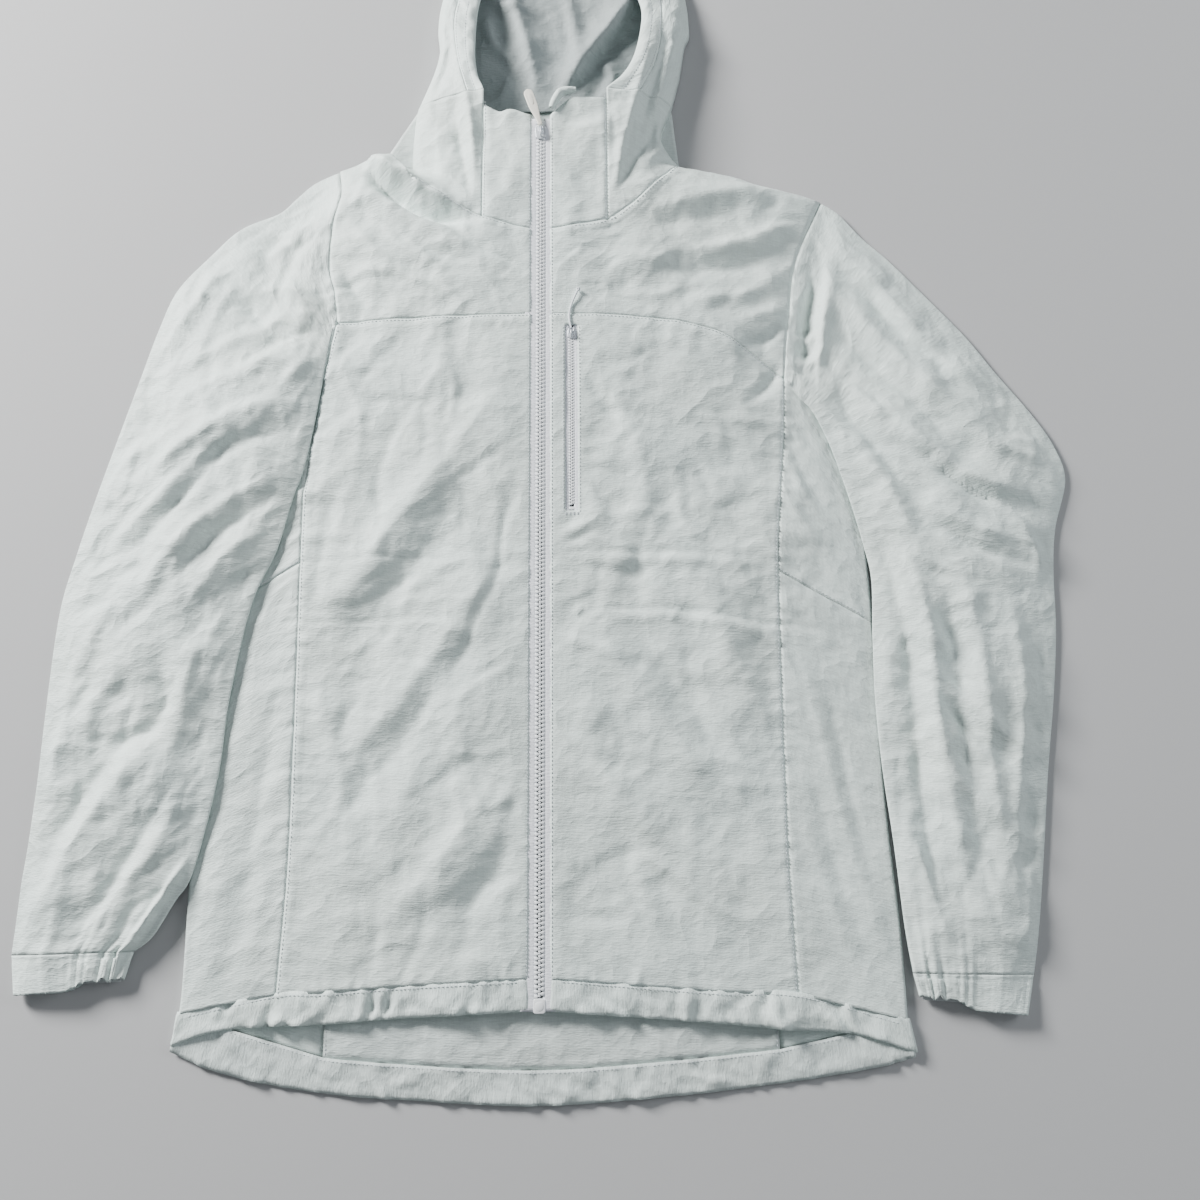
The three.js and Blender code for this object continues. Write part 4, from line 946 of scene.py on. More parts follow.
for half in (right, left):
    side, name, node = half["side"], half["name"], half["node"]
    across, down = counts(185, 520)
    hemSeam = smoothLine(hemSeamOf(half), across)
    yokeSeam = smoothLine(yokeLineOf(half)[::-1], across)
    sideSeam = smoothLine(sideSeamOf(half), down)
    zipEdge = evenly([hemSeam[0], yokeSeam[0]], down)
    grid, cells = patch(hemSeam, sideSeam, yokeSeam, zipEdge), None
    if side > 0:
        grid, cells = pocketSlot(grid)
    plainCloth("frontPanel" + name, grid, torsoHeight, ["front_panel_" + node], cells=cells)

    down = counts(170)[0]
    north = np.vstack([smoothLine([[side * build["show"], 619], *half["neckFront"][::-1]], counts(45)[0]),
                       smoothLine(half["neckSide"][::-1], counts(70)[0])[1:],
                       smoothLine(half["shoulder"][::-1], counts(70)[0])[1:]])
    south = smoothLine(yokeLineOf(half)[::-1], len(north))
    grid = patch(south, smoothLine(half["armhole"], down), north, evenly([south[0], north[0]], down))
    plainCloth("frontYoke" + name, grid, torsoHeight, ["front_yoke_" + node])

    across, down = counts(48, 112)
    base = smoothLine([[side * build["show"], 619], *half["neckFront"][::-1]], across)
    top = smoothLine([[side * build["show"], 726], *half["collarTop"][::-1]], across)
    grid = patch(base, smoothLine(half["collarSeam"], down), top, evenly([base[0], top[0]], down))

    def collarHeight(x, y, edge=top):
        # the torso's height, its top edge rolled over
        gap = np.abs(nearest(x, y, edge, 8)[0])
        return torsoHeight(x, y) - 3.2 * (1 - np.clip(gap / 3.2, 0, 1)) ** 2

    plainCloth("collar" + name, grid, collarHeight, ["collar_" + node])
print("front panels, yokes and collar ready")


# side panels: from the front seam round the fold to the back seam

def sidePanel(name, half, front, fold, back, replaced, length):
    # the upper layer ends in a half circle round the fold and runs back underneath
    rows = counts(length)[0]
    fronts, folds_, backs = (smoothLine(line, rows) for line in (front, fold, back))
    radius = build["sideLoft"] / 2
    side = half["side"]
    centre = folds_[:, 0] - side * radius

    def onLine(start, x):
        # y on the straight line from a seam to the fold
        return start[:, 1:] + (x - start[:, :1]) / (folds_[:, :1] - start[:, :1]) * (folds_[:, 1:] - start[:, 1:])

    over = np.linspace(0, 1, counts(75)[0])
    upperX = fronts[:, :1] + (centre[:, None] - fronts[:, :1]) * over
    upperY = onLine(fronts, upperX)
    upperZ = torsoHeight(upperX, upperY)
    upperZ = upperZ + (build["sideLoft"] - upperZ) * ease(over, 0.86, 1.0)
    angle = np.radians(np.linspace(90, -90, 9)[1:-1])
    turnX = centre[:, None] + side * radius * np.cos(angle)
    turnY = np.where(angle > 0, onLine(fronts, turnX), onLine(backs, turnX))
    turnZ = np.repeat((radius + radius * np.sin(angle))[None], rows, 0)
    under = np.linspace(0, 1, counts(100)[0] // 2)
    underX = centre[:, None] + (backs[:, :1] - centre[:, None]) * under
    underY = onLine(backs, underX)
    underZ = 0.3 * (1 + noise(underX / 30, underY / 30, 61)) * under * (1 - under) * 4
    points = np.dstack([np.hstack([upperX, turnX, underX]), np.hstack([upperY, turnY, underY]),
                        np.hstack([upperZ, turnZ, underZ])])
    piece = gridPiece(name, points, values={"layers": doubled(points[..., 0], points[..., 1])}, up=None)
    # outwards is up on the first columns, so the facing is settled on those alone
    if piece.data.polygons[0].normal.z < 0:
        piece.data.flip_normals()
    sew(piece, "shell", "torso", replaced)


for half in (right, left):
    node = half["node"]
    sidePanel("sidePanel" + half["name"], half, half["sideSeamLow"], half["sideFoldLow"], half["backSeamLow"],
              ["side_panel_" + node], 320)
    sidePanel("underarmGusset" + half["name"], half, half["sideSeamHigh"], half["sideFoldHigh"],
              half["backSeamHigh"], ["underarm_gusset_" + node], 200)
print("sides ready")


# back

def backHeight(x, y):
    # the back lies on the floor, its inner face lifted a little by soft folds
    swell = 0.9 + 0.9 * noise(x / 46, y / 34, 71) + 0.8 * crumple(x, y, 30, 72, 0.5, 1.5)
    tail = ease(-y, -40, 20)
    return build["cloth"] + np.maximum(0, swell) * (0.5 + tail)


backSeams = {half["name"]: half["backSeamLow"] + half["backSeamHigh"][1:] for half in (right, left)}
yokeBack = [right["backSeamHigh"][-1], [-60, 545], [80, 536], left["backSeamHigh"][-1]]
across, down = (n // 2 for n in counts(330, 560))
grid = patch(smoothLine(tailSeam, across), smoothLine(backSeams["Left"], down), smoothLine(yokeBack, across),
             smoothLine(backSeams["Right"], down))
plainCloth("backPanel", grid, backHeight, ["back_panel"], finish="inside")

seam = smoothLine([right["armhole"][0], *yokeBack, left["armhole"][0]], 150)
neckLine = evenly(np.vstack([smoothLine(right["shoulder"][:3], 20), smoothLine(backNeck, 60)[1:],
                             smoothLine(left["shoulder"], 40)[::-1][1:]]), 150)
grid = patch(seam, smoothLine(left["armhole"], 40), neckLine, smoothLine(right["armhole"], 40))
plainCloth("backYoke", grid, backHeight, ["back_yoke"], finish="inside")

for half in (right, left):
    # the back layer of each sleeve where it joins the yoke
    edge, arm = evenly(half["outer"][:6], 30), smoothLine(half["armhole"], 30)
    north = evenly([arm[-1], edge[0] + [half["side"] * 0.5, 0]], 30)
    grid = patch(evenly([arm[0], edge[-1]], 30), edge[::-1], north, arm)
    plainCloth("sleeveBack" + half["name"], grid, lambda x, y: np.full_like(x, build["cloth"]),
               ["sleeve_cap_back_" + half["node"]], finish="inside")


# hems: a flattened roll, carried along the garment's edge

def bandRings(upper, lower, top, thick, tuck=1.0, rim=10):
    # rings round a folded band: over the top from its seam to its edge, round the edge and back;
    # upper and lower are the plan lines of the seam and of the edge
    share = np.linspace(0, 1, rim)
    # the front band's top edge is tucked under the panel above it; the back band lies on the panel
    upper = upper + 1.6 * tuck * unit(upper - lower)
    plan = upper[:, None] + (lower - upper)[:, None] * share[None, :, None]
    lift = top(plan[..., 0], plan[..., 1])
    shrink = np.sqrt(np.clip(1 - ((share - 0.86) / 0.14).clip(0, 1) ** 2, 0, 1))[None]
    sink = 0.6 * tuck * (1 - ease(share, 0, 0.2)) - 0.35 * (1 - tuck) * np.exp(-share / 0.1)
    middle = lift - thick / 2 - sink[None]
    over = np.dstack([plan, middle + thick / 2 * shrink])
    under = np.dstack([plan, middle - thick / 2 * np.maximum(shrink, 0.02)])[:, ::-1]
    return np.concatenate([over, under], 1)


# curls are loose places along the front edge: height, middle and width along it
hems = {"thick": 2.2, "gather": 2.2, "spacing": 24, "tailGather": 1.8, "tailSpacing": 27,
        "curls": [(5.0, 178, 13), (3.0, -182, 10), (2.2, -70, 14), (-1.5, -120, 18)]}


def hemHeight(x, y):
    # the torso's height with the band's own gathers across it
    lean = x + 0.5 * y * np.sign(x)
    gather = hems["gather"] * np.sin(lean * 2 * math.pi / hems["spacing"] + 7 * noise(lean / 40, y / 30, 81))
    gather = gather * (0.5 + 1.3 * noise(lean / 33, y / 20, 82)) + 1.5 * crumple(x, y, 24, 86)
    curl = sum(height * np.exp(-((x - middle) / width) ** 2) for height, middle, width in hems["curls"])
    near = ease(-y, -24, 0)
    inset = 1 - ease(np.abs(x), 235, 262)
    return torsoHeight(x, y) + (gather + curl * 0.8) * near * inset * ease(np.abs(x), 9, 26) - 0.1


for half in (right, left):
    side = half["side"]
    seam = smoothLine([*hemSeamOf(half), half["sideFoldLow"][0]], 110)
    edge = smoothLine([[side * build["show"], 0], *half["hemEdge"]], 110)
    rings = bandRings(seam, edge, hemHeight, hems["thick"])
    # round the folded side: the last rings turn down onto the back band
    last, radius = rings[-1], (build["sideLoft"] - hems["thick"]) / 2
    drop = last[:, 2] - (build["sideLoft"] - hems["thick"] / 2)
    bend = []
    for angle in math.pi * np.linspace(0, 1, 9)[1:]:
        ring = last.copy()
        ring[:, 0] += side * radius * math.sin(angle)
        ring[:, 2] = hems["thick"] / 2 + radius * (1 + math.cos(angle)) + drop * math.cos(angle)
        bend.append(ring)
    rings = np.concatenate([rings, bend])
    sew(gridPiece("hemFront" + half["name"], rings, wrap=True), "shell", "torso",
        ["hem_band_front_" + half["node"]])

turnRight = evenly([right["sideFoldLow"][0], right["backSeamLow"][0]], 40)
turnLeft = evenly([left["backSeamLow"][0], left["sideFoldLow"][0]], 40)
bandTop = evenly(np.vstack([turnRight, smoothLine(tailSeam, 110)[1:], turnLeft[1:]]), 220)
bandEdge = smoothLine(tailEdge, 220)


def tailHeight(x, y):
    # the back band's inner face: slanting gathers that fade towards its seam
    lean = x + 0.8 * y
    drift = 7 * noise(lean / 40, y / 30, 83)
    gather = hems["tailGather"] * np.sin(lean * 2 * math.pi / hems["tailSpacing"] + drift)
    gather = gather * (0.4 + noise(x / 30, y / 9, 84))
    return 3.2 + np.maximum(-0.6, gather + 1.2 * crumple(x, y, 22, 85)) * ease(-y, -24, 50)


rings = bandRings(bandTop, bandEdge, tailHeight, hems["thick"], 0.0)
sew(gridPiece("hemBack", rings, wrap=True), "inside", "torso", ["hem_band_back"])
print("back and hems ready")


# sleeves: flattened tubes from the armhole to the cuff

sleeveFolds = {
    "Right": [
        (2.6, 7, 0.2, [[-184, 640], [-214, 628], [-238, 645]]),
        (-2.4, 6, 0, [[-182, 625], [-205, 615], [-228, 630]]),
        (2.6, 7, 0.2, [[-181, 602], [-202, 622], [-240, 604]]),
        (-3.0, 9, 0, [[-222, 640], [-232, 610], [-228, 590]]),
        (-3.2, 10, 0, [[-245, 580], [-240, 555], [-225, 535]]),
        (2.6, 8, 0.2, [[-176, 560], [-210, 575], [-250, 572]]),
        (2.2, 8, 0, [[-174, 548], [-215, 545], [-262, 520], [-300, 500]]),
        (-2.2, 7, 0, [[-176, 535], [-215, 525], [-255, 498]]),
        (2.2, 9, 0.1, [[-178, 505], [-225, 505], [-290, 478]]),
        (2.2, 8, 0, [[-270, 610], [-285, 570], [-318, 520]]),
        (2.4, 9, 0.3, [[-190, 470], [-240, 462], [-300, 425], [-335, 400]]),
        (-2.4, 8, 0, [[-192, 448], [-245, 435], [-300, 398]]),
        (2.8, 8, 0.35, [[-240, 455], [-290, 405], [-330, 365], [-345, 345]]),
        (-2.6, 7, 0, [[-250, 430], [-290, 385], [-325, 345]]),
        (2.6, 8, 0.3, [[-205, 410], [-255, 382], [-300, 335], [-320, 300]]),
        (-2.4, 7, 0, [[-212, 392], [-255, 360], [-290, 318]]),
        (2.2, 7, 0.2, [[-215, 365], [-250, 340], [-275, 300]]),
        (2.0, 8, 0, [[-300, 450], [-340, 420], [-360, 380]]),
        (2.0, 9, 0, [[-310, 330], [-345, 290], [-365, 230]]),
        (2.2, 8, 0.2, [[-240, 300], [-268, 255], [-272, 200]]),
        (-3.2, 9, -0.2, [[-296, 262], [-286, 235], [-295, 208], [-325, 196], [-345, 190]]),
        (3.0, 10, 0.2, [[-285, 205], [-315, 172], [-345, 128], [-368, 80]]),
        (-2.8, 9, 0, [[-318, 195], [-345, 160], [-368, 115]]),
        (2.4, 9, 0, [[-262, 170], [-288, 120], [-322, 70], [-335, 30]]),
        (-2.6, 8, 0, [[-285, 150], [-312, 100], [-345, 48]]),
        (3.4, 5, 0.6, [[-258, 118], [-282, 78], [-306, 46], [-330, 20]]),
        (-3.4, 7, 0, [[-254, 100], [-274, 66], [-294, 40], [-312, 20]]),
        (1.8, 6, 0, [[-352, 90], [-360, 50], [-362, 20]]),
        (1.8, 7, 0, [[-355, 250], [-368, 200], [-372, 150]]),
    ],
    "Left": [
        (3.6, 5, 0.6, [[238, 600], [240, 585], [234, 552], [229, 515], [226, 490]]),
        (-5.5, 6, 0, [[226, 600], [226, 570], [219, 540], [217, 510], [214, 492]]),
        (-2.6, 3.5, 0, [[206, 540], [216, 535], [228, 541]]),
        (2.2, 3, 0, [[206, 530], [217, 526], [228, 530]]),
        (-2.6, 3, 0, [[205, 520], [216, 515], [226, 518]]),
        (2.0, 3, 0, [[204, 510], [214, 505], [224, 505]]),
        (-2.4, 3, 0, [[203, 500], [214, 496], [222, 492]]),
        (-2.2, 5, 0, [[222, 630], [232, 612], [238, 598]]),
        (2.8, 10, 0.2, [[236, 628], [280, 575], [320, 520], [362, 478]]),
        (-2.4, 9, 0, [[246, 600], [290, 545], [340, 490]]),
        (2.8, 9, 0.2, [[244, 575], [285, 520], [330, 470], [372, 440]]),
        (-2.4, 8, 0, [[242, 540], [285, 490], [330, 440]]),
        (2.6, 9, 0.2, [[234, 510], [270, 465], [310, 415], [335, 370]]),
        (-2.2, 8, 0, [[236, 480], [270, 430], [300, 380]]),
        (2.2, 8, 0.2, [[245, 440], [275, 400], [298, 350]]),
        (2.6, 6, 0.2, [[290, 450], [335, 408], [392, 388]]),
        (-2.4, 5, 0, [[300, 430], [345, 392], [400, 372]]),
        (2.2, 6, 0, [[330, 460], [370, 430], [414, 420]]),
        (2.2, 6, 0.2, [[300, 385], [340, 362], [398, 348]]),
        (-2.0, 5, 0, [[310, 370], [345, 345], [395, 330]]),
        (2.0, 6, 0, [[350, 400], [385, 360], [400, 320]]),
        (2.8, 9, 0.2, [[285, 360], [300, 290], [303, 210], [312, 120], [318, 60]]),
        (-2.6, 8, 0, [[272, 350], [285, 270], [288, 190], [292, 110], [296, 50]]),
        (2.4, 8, 0, [[330, 330], [340, 260], [342, 190], [345, 110]]),
        (-2.4, 8, 0, [[318, 320], [322, 250], [325, 180], [330, 90]]),
        (2.0, 7, 0, [[365, 310], [372, 240], [362, 160], [352, 80]]),
        (1.9, 6, 0, [[300, 255], [335, 215], [372, 190]]),
        (1.9, 6, 0, [[305, 180], [338, 140], [372, 115]]),
        (-1.6, 5, 0, [[300, 235], [335, 195], [370, 168]]),
        (1.8, 6, 0, [[275, 130], [290, 80], [300, 40]]),
    ],
}

sleeves = {"around": 150, "cell": 2.7, "edge": 0.32, "attach": 42}
# how deep each sleeve's creases and folds are, which way they run and where the cloth bends
sleeveCloth = {
    "Right": {"creases": 2.3, "folds": 1.9, "turn": 0.95, "bend": ((-0.250, 0.562, 0.01), (-0.275, 0.425, 0.01))},
    "Left": {"creases": 2.9, "folds": 2.5, "turn": -0.9, "bend": ((0.283, 0.535, 0.01), (0.302, 0.395, 0.01))},
}


def sleevePlan(half, u, rows):
    # straight sections between the inner and the outer edge, paired point by point; the first
    # section bends into the armhole and the bend fades down the sleeve
    inner, outer = (spline(half[key], np.linspace(0, len(half[key]) - 1, 2000)) for key in ("inner", "outer"))
    run = runOf(0.5 * (inner + outer))
    place = np.interp(np.linspace(0, run[-1], rows), run, np.arange(len(run)))
    pick = np.round(place).astype(int)
    straight = inner[pick][:, None] * (1 - u[..., None]) + outer[pick][:, None] * u[..., None]
    arm = smoothLine(half["armhole"], 200)
    bend = arm - (arm[:1] + (arm[-1:] - arm[:1]) * np.linspace(0, 1, 200)[:, None])
    v = np.linspace(0, 1, rows)[:, None]
    fade = (1 - ease(v, 0, 0.22))[..., None]
    shift = np.stack([np.interp(u, np.linspace(0, 1, 200), bend[:, k]) for k in (0, 1)], -1)
    return straight + fade * shift, run[-1]


def sleeveTop(half, x, y, u, v, floor_):
    # the upper layer: full in the middle, thin at its folded edges, running into the front at the
    # armhole, with its own folds
    high, low, elbow = build["sleeveLoft"], build["cuffLoft"], half["fullElbow"]
    loft = np.where(v < elbow, high, high + (low - high) * (v - elbow) / (1 - elbow))
    full = loft * 4 * u * (1 - u) * np.minimum(1, 0.3 + 3 * v)
    cloth = sleeveCloth[half["name"]]
    creases = cloth["creases"] * crumple(x, y, 46, 91, cloth["turn"], 2.6)
    creases = creases + crumple(x, y, 22, 95, cloth["turn"], 2.0)
    relief = cloth["folds"] * folds(x, y, sleeveFolds[half["name"]]) + creases + 2 * noise(x / 45, y / 60, 97)
    relief = relief * ease(4 * u * (1 - u), 0.02, 0.4)
    return floor_ + 2.9 + full + relief


cuffs = {"gathers": 13, "depth": 2.0, "rows": 16, "high": 10, "drawnUp": 7, "reach": 26}


def gathers(angle):
    # folds round the cuff: deep and even on the elastic's half, faint on the plain half
    u = 0.5 - 0.5 * np.cos(angle)
    drawn = 1 - ease(u, 0.3, 0.55)
    drift = 6 * noise(angle * 1.7, angle * 0 + 0.3, 111)
    strength = 0.55 + 0.9 * noise(angle * 3.1, angle * 0 + 0.7, 112)
    return cuffs["depth"] * np.sin(cuffs["gathers"] * 6.5 * u + drift) * (0.15 + drawn) * strength


for half in (right, left):
    name, node = half["name"], half["node"]
    around = sleeves["around"]
    angle = np.linspace(0, 2 * math.pi, around, endpoint=False) + math.pi / around
    rows = int(sleevePlan(half, np.zeros((1, 2)), 2)[1] / sleeves["cell"])
    u = np.repeat((0.5 - 0.5 * np.cos(angle))[None], rows, 0)
    plan, length = sleevePlan(half, u, rows)
    x, y = plan[..., 0], plan[..., 1]
    v = np.repeat(np.linspace(0, 1, rows)[:, None], around, 1)
    bottom = sleeveFloor(half, x, y) + 0.4
    top = sleeveTop(half, x, y, u, v, bottom)
    # near the armhole the sleeve takes the front's height
    gap = np.abs(nearest(x, y, smoothLine(half["armhole"], step=4), 80)[0])
    joined = 1 - ease(gap, 0, sleeves["attach"])
    top = top * (1 - joined) + (torsoHeight(x, y) + 0.25 * (top - bottom - 2.9) * ease(gap, 2, 20)) * joined
    nearCuff = np.exp(-(1 - v) * length / cuffs["reach"])
    top = top + 0.75 * gathers(angle)[None] * nearCuff
    half["turns"] = angle
    bottom = np.minimum(bottom, top - 0.8)
    swell = signed(np.sin(angle), sleeves["edge"])[None]
    tube = half["tube"] = np.dstack([x, y, (top + bottom) / 2 + (top - bottom) / 2 * swell])
    piece = gridPiece("sleeve" + name, tube, wrap=True, values={"layers": doubled(x, y) * (v < 0.1)})
    sew(piece, "crumpled", None, [part + node for part in ("sleeve_cap_", "sleeve_upper_", "sleeve_under_")],
        ("torso", "sleeve_" + node, *sleeveCloth[name]["bend"]))
print("sleeves ready")


# cuffs: the tube's end, gathered by an elastic on its inner half

for half in (right, left):
    name, node = half["name"], half["node"]
    last = half["tube"][-1]
    endOuter, endInner = np.array(half["cuffEnd"], float)
    angle = half["turns"]
    u = 0.5 - 0.5 * np.cos(angle)
    drawn = 1 - ease(u, 0.3, 0.55)
    endPlan = endInner + (endOuter - endInner) * u[:, None]
    endPlan[:, 1] += cuffs["drawnUp"] * drawn
    endZ = cuffs["high"] / 2 + cuffs["high"] / 2 * signed(np.sin(angle), 0.6)
    end = np.column_stack([endPlan, endZ])
    share = np.linspace(0, 1, cuffs["rows"])[:, None, None]
    band = last[None] * (1 - share) + end[None] * share
    run = share[:, :, 0]
    wave = gathers(angle)[None]
    seamDitch = 0.5 * np.exp(-((run - 0.12) * 14) ** 2)
    band[..., 2] += wave * np.sign(np.sin(angle))[None] * run * (1 - 0.35 * run) - seamDitch
    band[..., 1] += 0.9 * wave * ease(run, 0.4, 1)
    band[..., 2] = np.maximum(band[..., 2], 0.15)
    centre = band.mean(1, keepdims=True)
    inset = band - centre
    # the turned-in cloth, 1.3 mm inside the band
    inner = centre + inset * (1 - 1.3 / np.maximum(np.linalg.norm(inset[..., [0, 2]], axis=-1), 3.0))[..., None]
    inner[..., 2] = np.clip(inner[..., 2], 1.2, None)
    turnIn = np.concatenate([band, inner[::-1][: cuffs["rows"] - 3]])
    piece = gridPiece("cuff" + name, turnIn, wrap=True, values={"layers": np.ones(turnIn.shape[:2])})
    sew(piece, "crumpled", "sleeve_" + node, ["cuff_" + node], thickness=0.3)
print("cuffs ready")


# hood

# seamShare is how far the brim's seam lies from the hood's outer edge to its rim
hood = {"columns": 260, "rows": 20, "brimRows": 14, "seamShare": 0.62, "outerZ": 1.6, "fall": 4.0, "thick": 2.4}


hoodFolds = [
    (2.4, 8, 0, [[-104, 720], [-97, 760], [-90, 800], [-84, 850], [-80, 900]]),
    (-2.6, 6, 0, [[-90, 690], [-92, 756], [-82, 790], [-82, 830]]),
    (2.2, 7, 0, [[100, 742], [112, 800], [118, 850]]),
    (-3.0, 5, 0, [[80, 690], [92, 745], [106, 795], [108, 830]]),
    (2.0, 5, 0, [[110, 790], [122, 812], [116, 840]]),
    (2.2, 9, 0, [[-60, 915], [0, 948], [60, 940]]),
    (-2.0, 8, 0, [[60, 935], [100, 905], [118, 860]]),
    (3.0, 5, 0.3, [[-50, 640], [-57, 700], [-64, 750], [-72, 790]]),
    (-3.2, 5, 0, [[-58, 650], [-68, 700], [-76, 750]]),
    (2.5, 8, 0, [[-92, 765], [-90, 710], [-82, 672]]),
    (-2.0, 6, 0, [[-104, 720], [-100, 690], [-92, 668]]),
    (-3.2, 4, 0, [[62, 650], [76, 680], [92, 712], [100, 735]]),
    (3.2, 5, 0.3, [[60, 650], [70, 700], [83, 750], [95, 800]]),
    (2.4, 7, 0, [[80, 660], [94, 690], [104, 712]]),
    (-2.0, 5, 0, [[92, 690], [98, 715], [100, 740]]),
]


def hoodHeight(x, y, share):
    # the hood's outside: steep by its outer edge, then nearly level to the rim, and lower away from
    # the neck
    rise = centreTop(y) - np.maximum(0, y - build["hoodSplit"]) * 0.14
    base = hood["outerZ"] + (rise - hood["outerZ"]) * np.clip(share, 0, 1) ** 0.42
    relief = 1.3 * folds(x, y, hoodFolds) + 1.4 * crumple(x, y, 34, 121, 1.4, 1.8) + 0.5 * crumple(x, y, 18, 125)
    return base + relief * ease(share, 0.02, 0.3) * (1 - 0.6 * ease(share, 0.8, 1.0))


edge, seam, rim = (smoothLine(line, hood["columns"]) for line in (hoodEdge, brimSeam, hoodRim))
hoodBend = ("torso", "hood", (0, 0.742, 0.03), (0, 0.842, 0.03))
names = [("hoodSideRight", "hood_side_right", 0, 10), ("hoodCentre", "hood_centre_top", 10, 14),
         ("hoodSideLeft", "hood_side_left", 14, 24)]
for name, node, first, last in names:
    a, b = (int(round(place / 24 * (hood["columns"] - 1))) for place in (first, last))
    t = np.linspace(0, 1, hood["rows"])[:, None, None]
    grid = edge[None, a:b + 1] * (1 - t) + seam[None, a:b + 1] * t
    t = t[..., 0]
    share = np.repeat(t * hood["seamShare"], b + 1 - a, 1)
    z = hoodHeight(grid[..., 0], grid[..., 1], share)
    if name == "hoodCentre":
        # the ditches of the seams at both ends
        fromEnd = np.minimum(np.arange(b + 1 - a), np.arange(b + 1 - a)[::-1])
        z = z - 0.7 * np.exp(-(fromEnd / 0.8) ** 2)[None]
    points = np.dstack([grid, z - 0.8 * np.exp(-(((1 - t) * 16) ** 2))])
    piece = gridPiece(name, points, values={"layers": ease(t, 0.72, 0.8) + 0 * share})
    sew(piece, "crumpled", None, [node], hoodBend)

# the brim: a doubled band from its seam to the rim, round the rim and back underneath
t = np.linspace(0, 1, hood["brimRows"])[:, None, None]
over = seam[None] * (1 - t) + rim[None] * t
t = t[..., 0]
share = hood["seamShare"] + (1 - hood["seamShare"]) * t
top = hoodHeight(over[..., 0], over[..., 1], share + 0 * over[..., 0])
ends = np.arange(hood["columns"])[None]
ends = ease(np.minimum(ends, ends[:, ::-1]), 0, 14)
fall = hood["fall"] * np.clip((t - 0.55) / 0.45, 0, 1) ** 2 * ends
stitched = 0.5 * np.exp(-((t - 0.5) * 14) ** 2)
top = top - fall - stitched - 0.8 * np.exp(-((t * 12) ** 2))
thick = hood["thick"] * np.sqrt(np.clip(1 - np.clip((t - 0.8) / 0.2, 0, 1) ** 2, 0.0, 1)) + 0 * top
under = np.dstack([over, top - np.maximum(thick, 0.1) - 1.2 * t])
rings = np.concatenate([np.dstack([over, top]), under[::-1]], 0).transpose(1, 0, 2)
piece = gridPiece("hoodBrim", rings, wrap=True, values={"layers": np.ones(rings.shape[:2])})
sew(piece, "crumpled", None, ["hood_brim"], hoodBend, 0.35)

# the inside of the hood, seen through its opening
crownFolds = [
    (11, 8, 0.35, [[-36, 905], [-24, 850], [-11, 800], [-4, 764]]),
    (-4, 9, 0, [[-50, 850], [-36, 810], [-22, 780]]),
    (14, 8, -0.45, [[92, 885], [66, 838], [38, 800], [14, 762]]),
    (7, 7, 0.3, [[20, 875], [28, 830], [30, 790]]),
    (6, 6, 0, [[-52, 850], [-44, 820], [-24, 800]]),
    (5, 5, 0, [[-50, 870], [-34, 858], [-14, 850]]),
    (5, 6, 0, [[55, 800], [62, 780], [50, 762]]),
    (6, 9, 0, [[-40, 905], [10, 918], [60, 900]]),
]


def crownHeight(x, y):
    # folds and a seam that fade out at the hood's edge
    inward = ease(np.abs(nearest(x, y, smoothLine(hoodEdge, step=6), 60)[0]), 2, 22)
    relief = folds(x, y, crownFolds) + 1.2 * crumple(x, y, 34, 131, 1.2, 1.8) + 2 * noise(x / 40, y / 50, 133)
    ditch = nearest(x, y, smoothLine([[38, 950], [36, 880], [40, 800]], step=6), 20)[0]
    return 1.4 + np.maximum(0, relief + 2.4) * inward - 0.7 * np.exp(-ditch ** 2) * inward


count = hood["columns"] // 2 - 3
t = np.linspace(0, 1, 70)[None, :, None]
grid = edge[:count, None] * (1 - t) + edge[::-1][:count, None] * t
points = np.dstack([grid, crownHeight(grid[..., 0], grid[..., 1])])
# the crown takes the darker hood colour: painted shade for the inside of the hood
sew(gridPiece("hoodCrown", points, grain=grid), "paintedHoodShade", None, ["hood_crown_back"], over=hoodBend)

for half in (right, left):
    # the hood's foot, beside the collar
    rows, columns = counts(120)[0], 34
    inner, outer = smoothLine(half["hoodNeckInner"], rows), smoothLine(half["hoodNeckEdge"], rows)
    grid = patch(smoothLine(half["neckSide"], columns), inner, evenly([outer[-1], inner[-1]], columns), outer)
    u = np.repeat(np.linspace(0, 1, columns)[None], rows, 0)
    v = np.repeat(np.linspace(0, 1, rows)[:, None], columns, 1)
    x, y = grid[..., 0], grid[..., 1]
    edgeX, seamX, rimX = (line[0 if half["side"] < 0 else -1][0] for line in (hoodEdge, brimSeam, hoodRim))
    share = np.interp(u, [0, (edgeX - seamX) / (edgeX - rimX), 1], [0, hood["seamShare"], 1])
    joined = ease(v, 0, 0.3)
    z = torsoHeight(x, y) * (1 - joined) + hoodHeight(x, y, share) * joined
    inmost = ease(u, 0.8, 1) * (1 - ease(v, 0.85, 1))
    z = z * (1 - inmost) + torsoHeight(x, y) * inmost
    points = np.dstack([grid, z])
    piece = gridPiece("hoodFoot" + half["name"], points, grain=grid, values={"layers": doubled(x, y)})
    sew(piece, "crumpled", None, ["hood_neck_" + half["node"]], hoodBend)

south = smoothLine(backNeck, 90)
west, east = evenly([south[0], [-110, 752]], 30), evenly([south[-1], [113, 752]], 30)
grid = patch(south, east, evenly([west[-1], east[-1]], 90), west)
plainCloth("neckBack", grid, lambda x, y: 1.3 + np.maximum(0, 1.2 * crumple(x, y, 24, 151)), ["hood_neck_back"],
           finish="inside", body=None, over=hoodBend)
print("hood ready")


# main zip

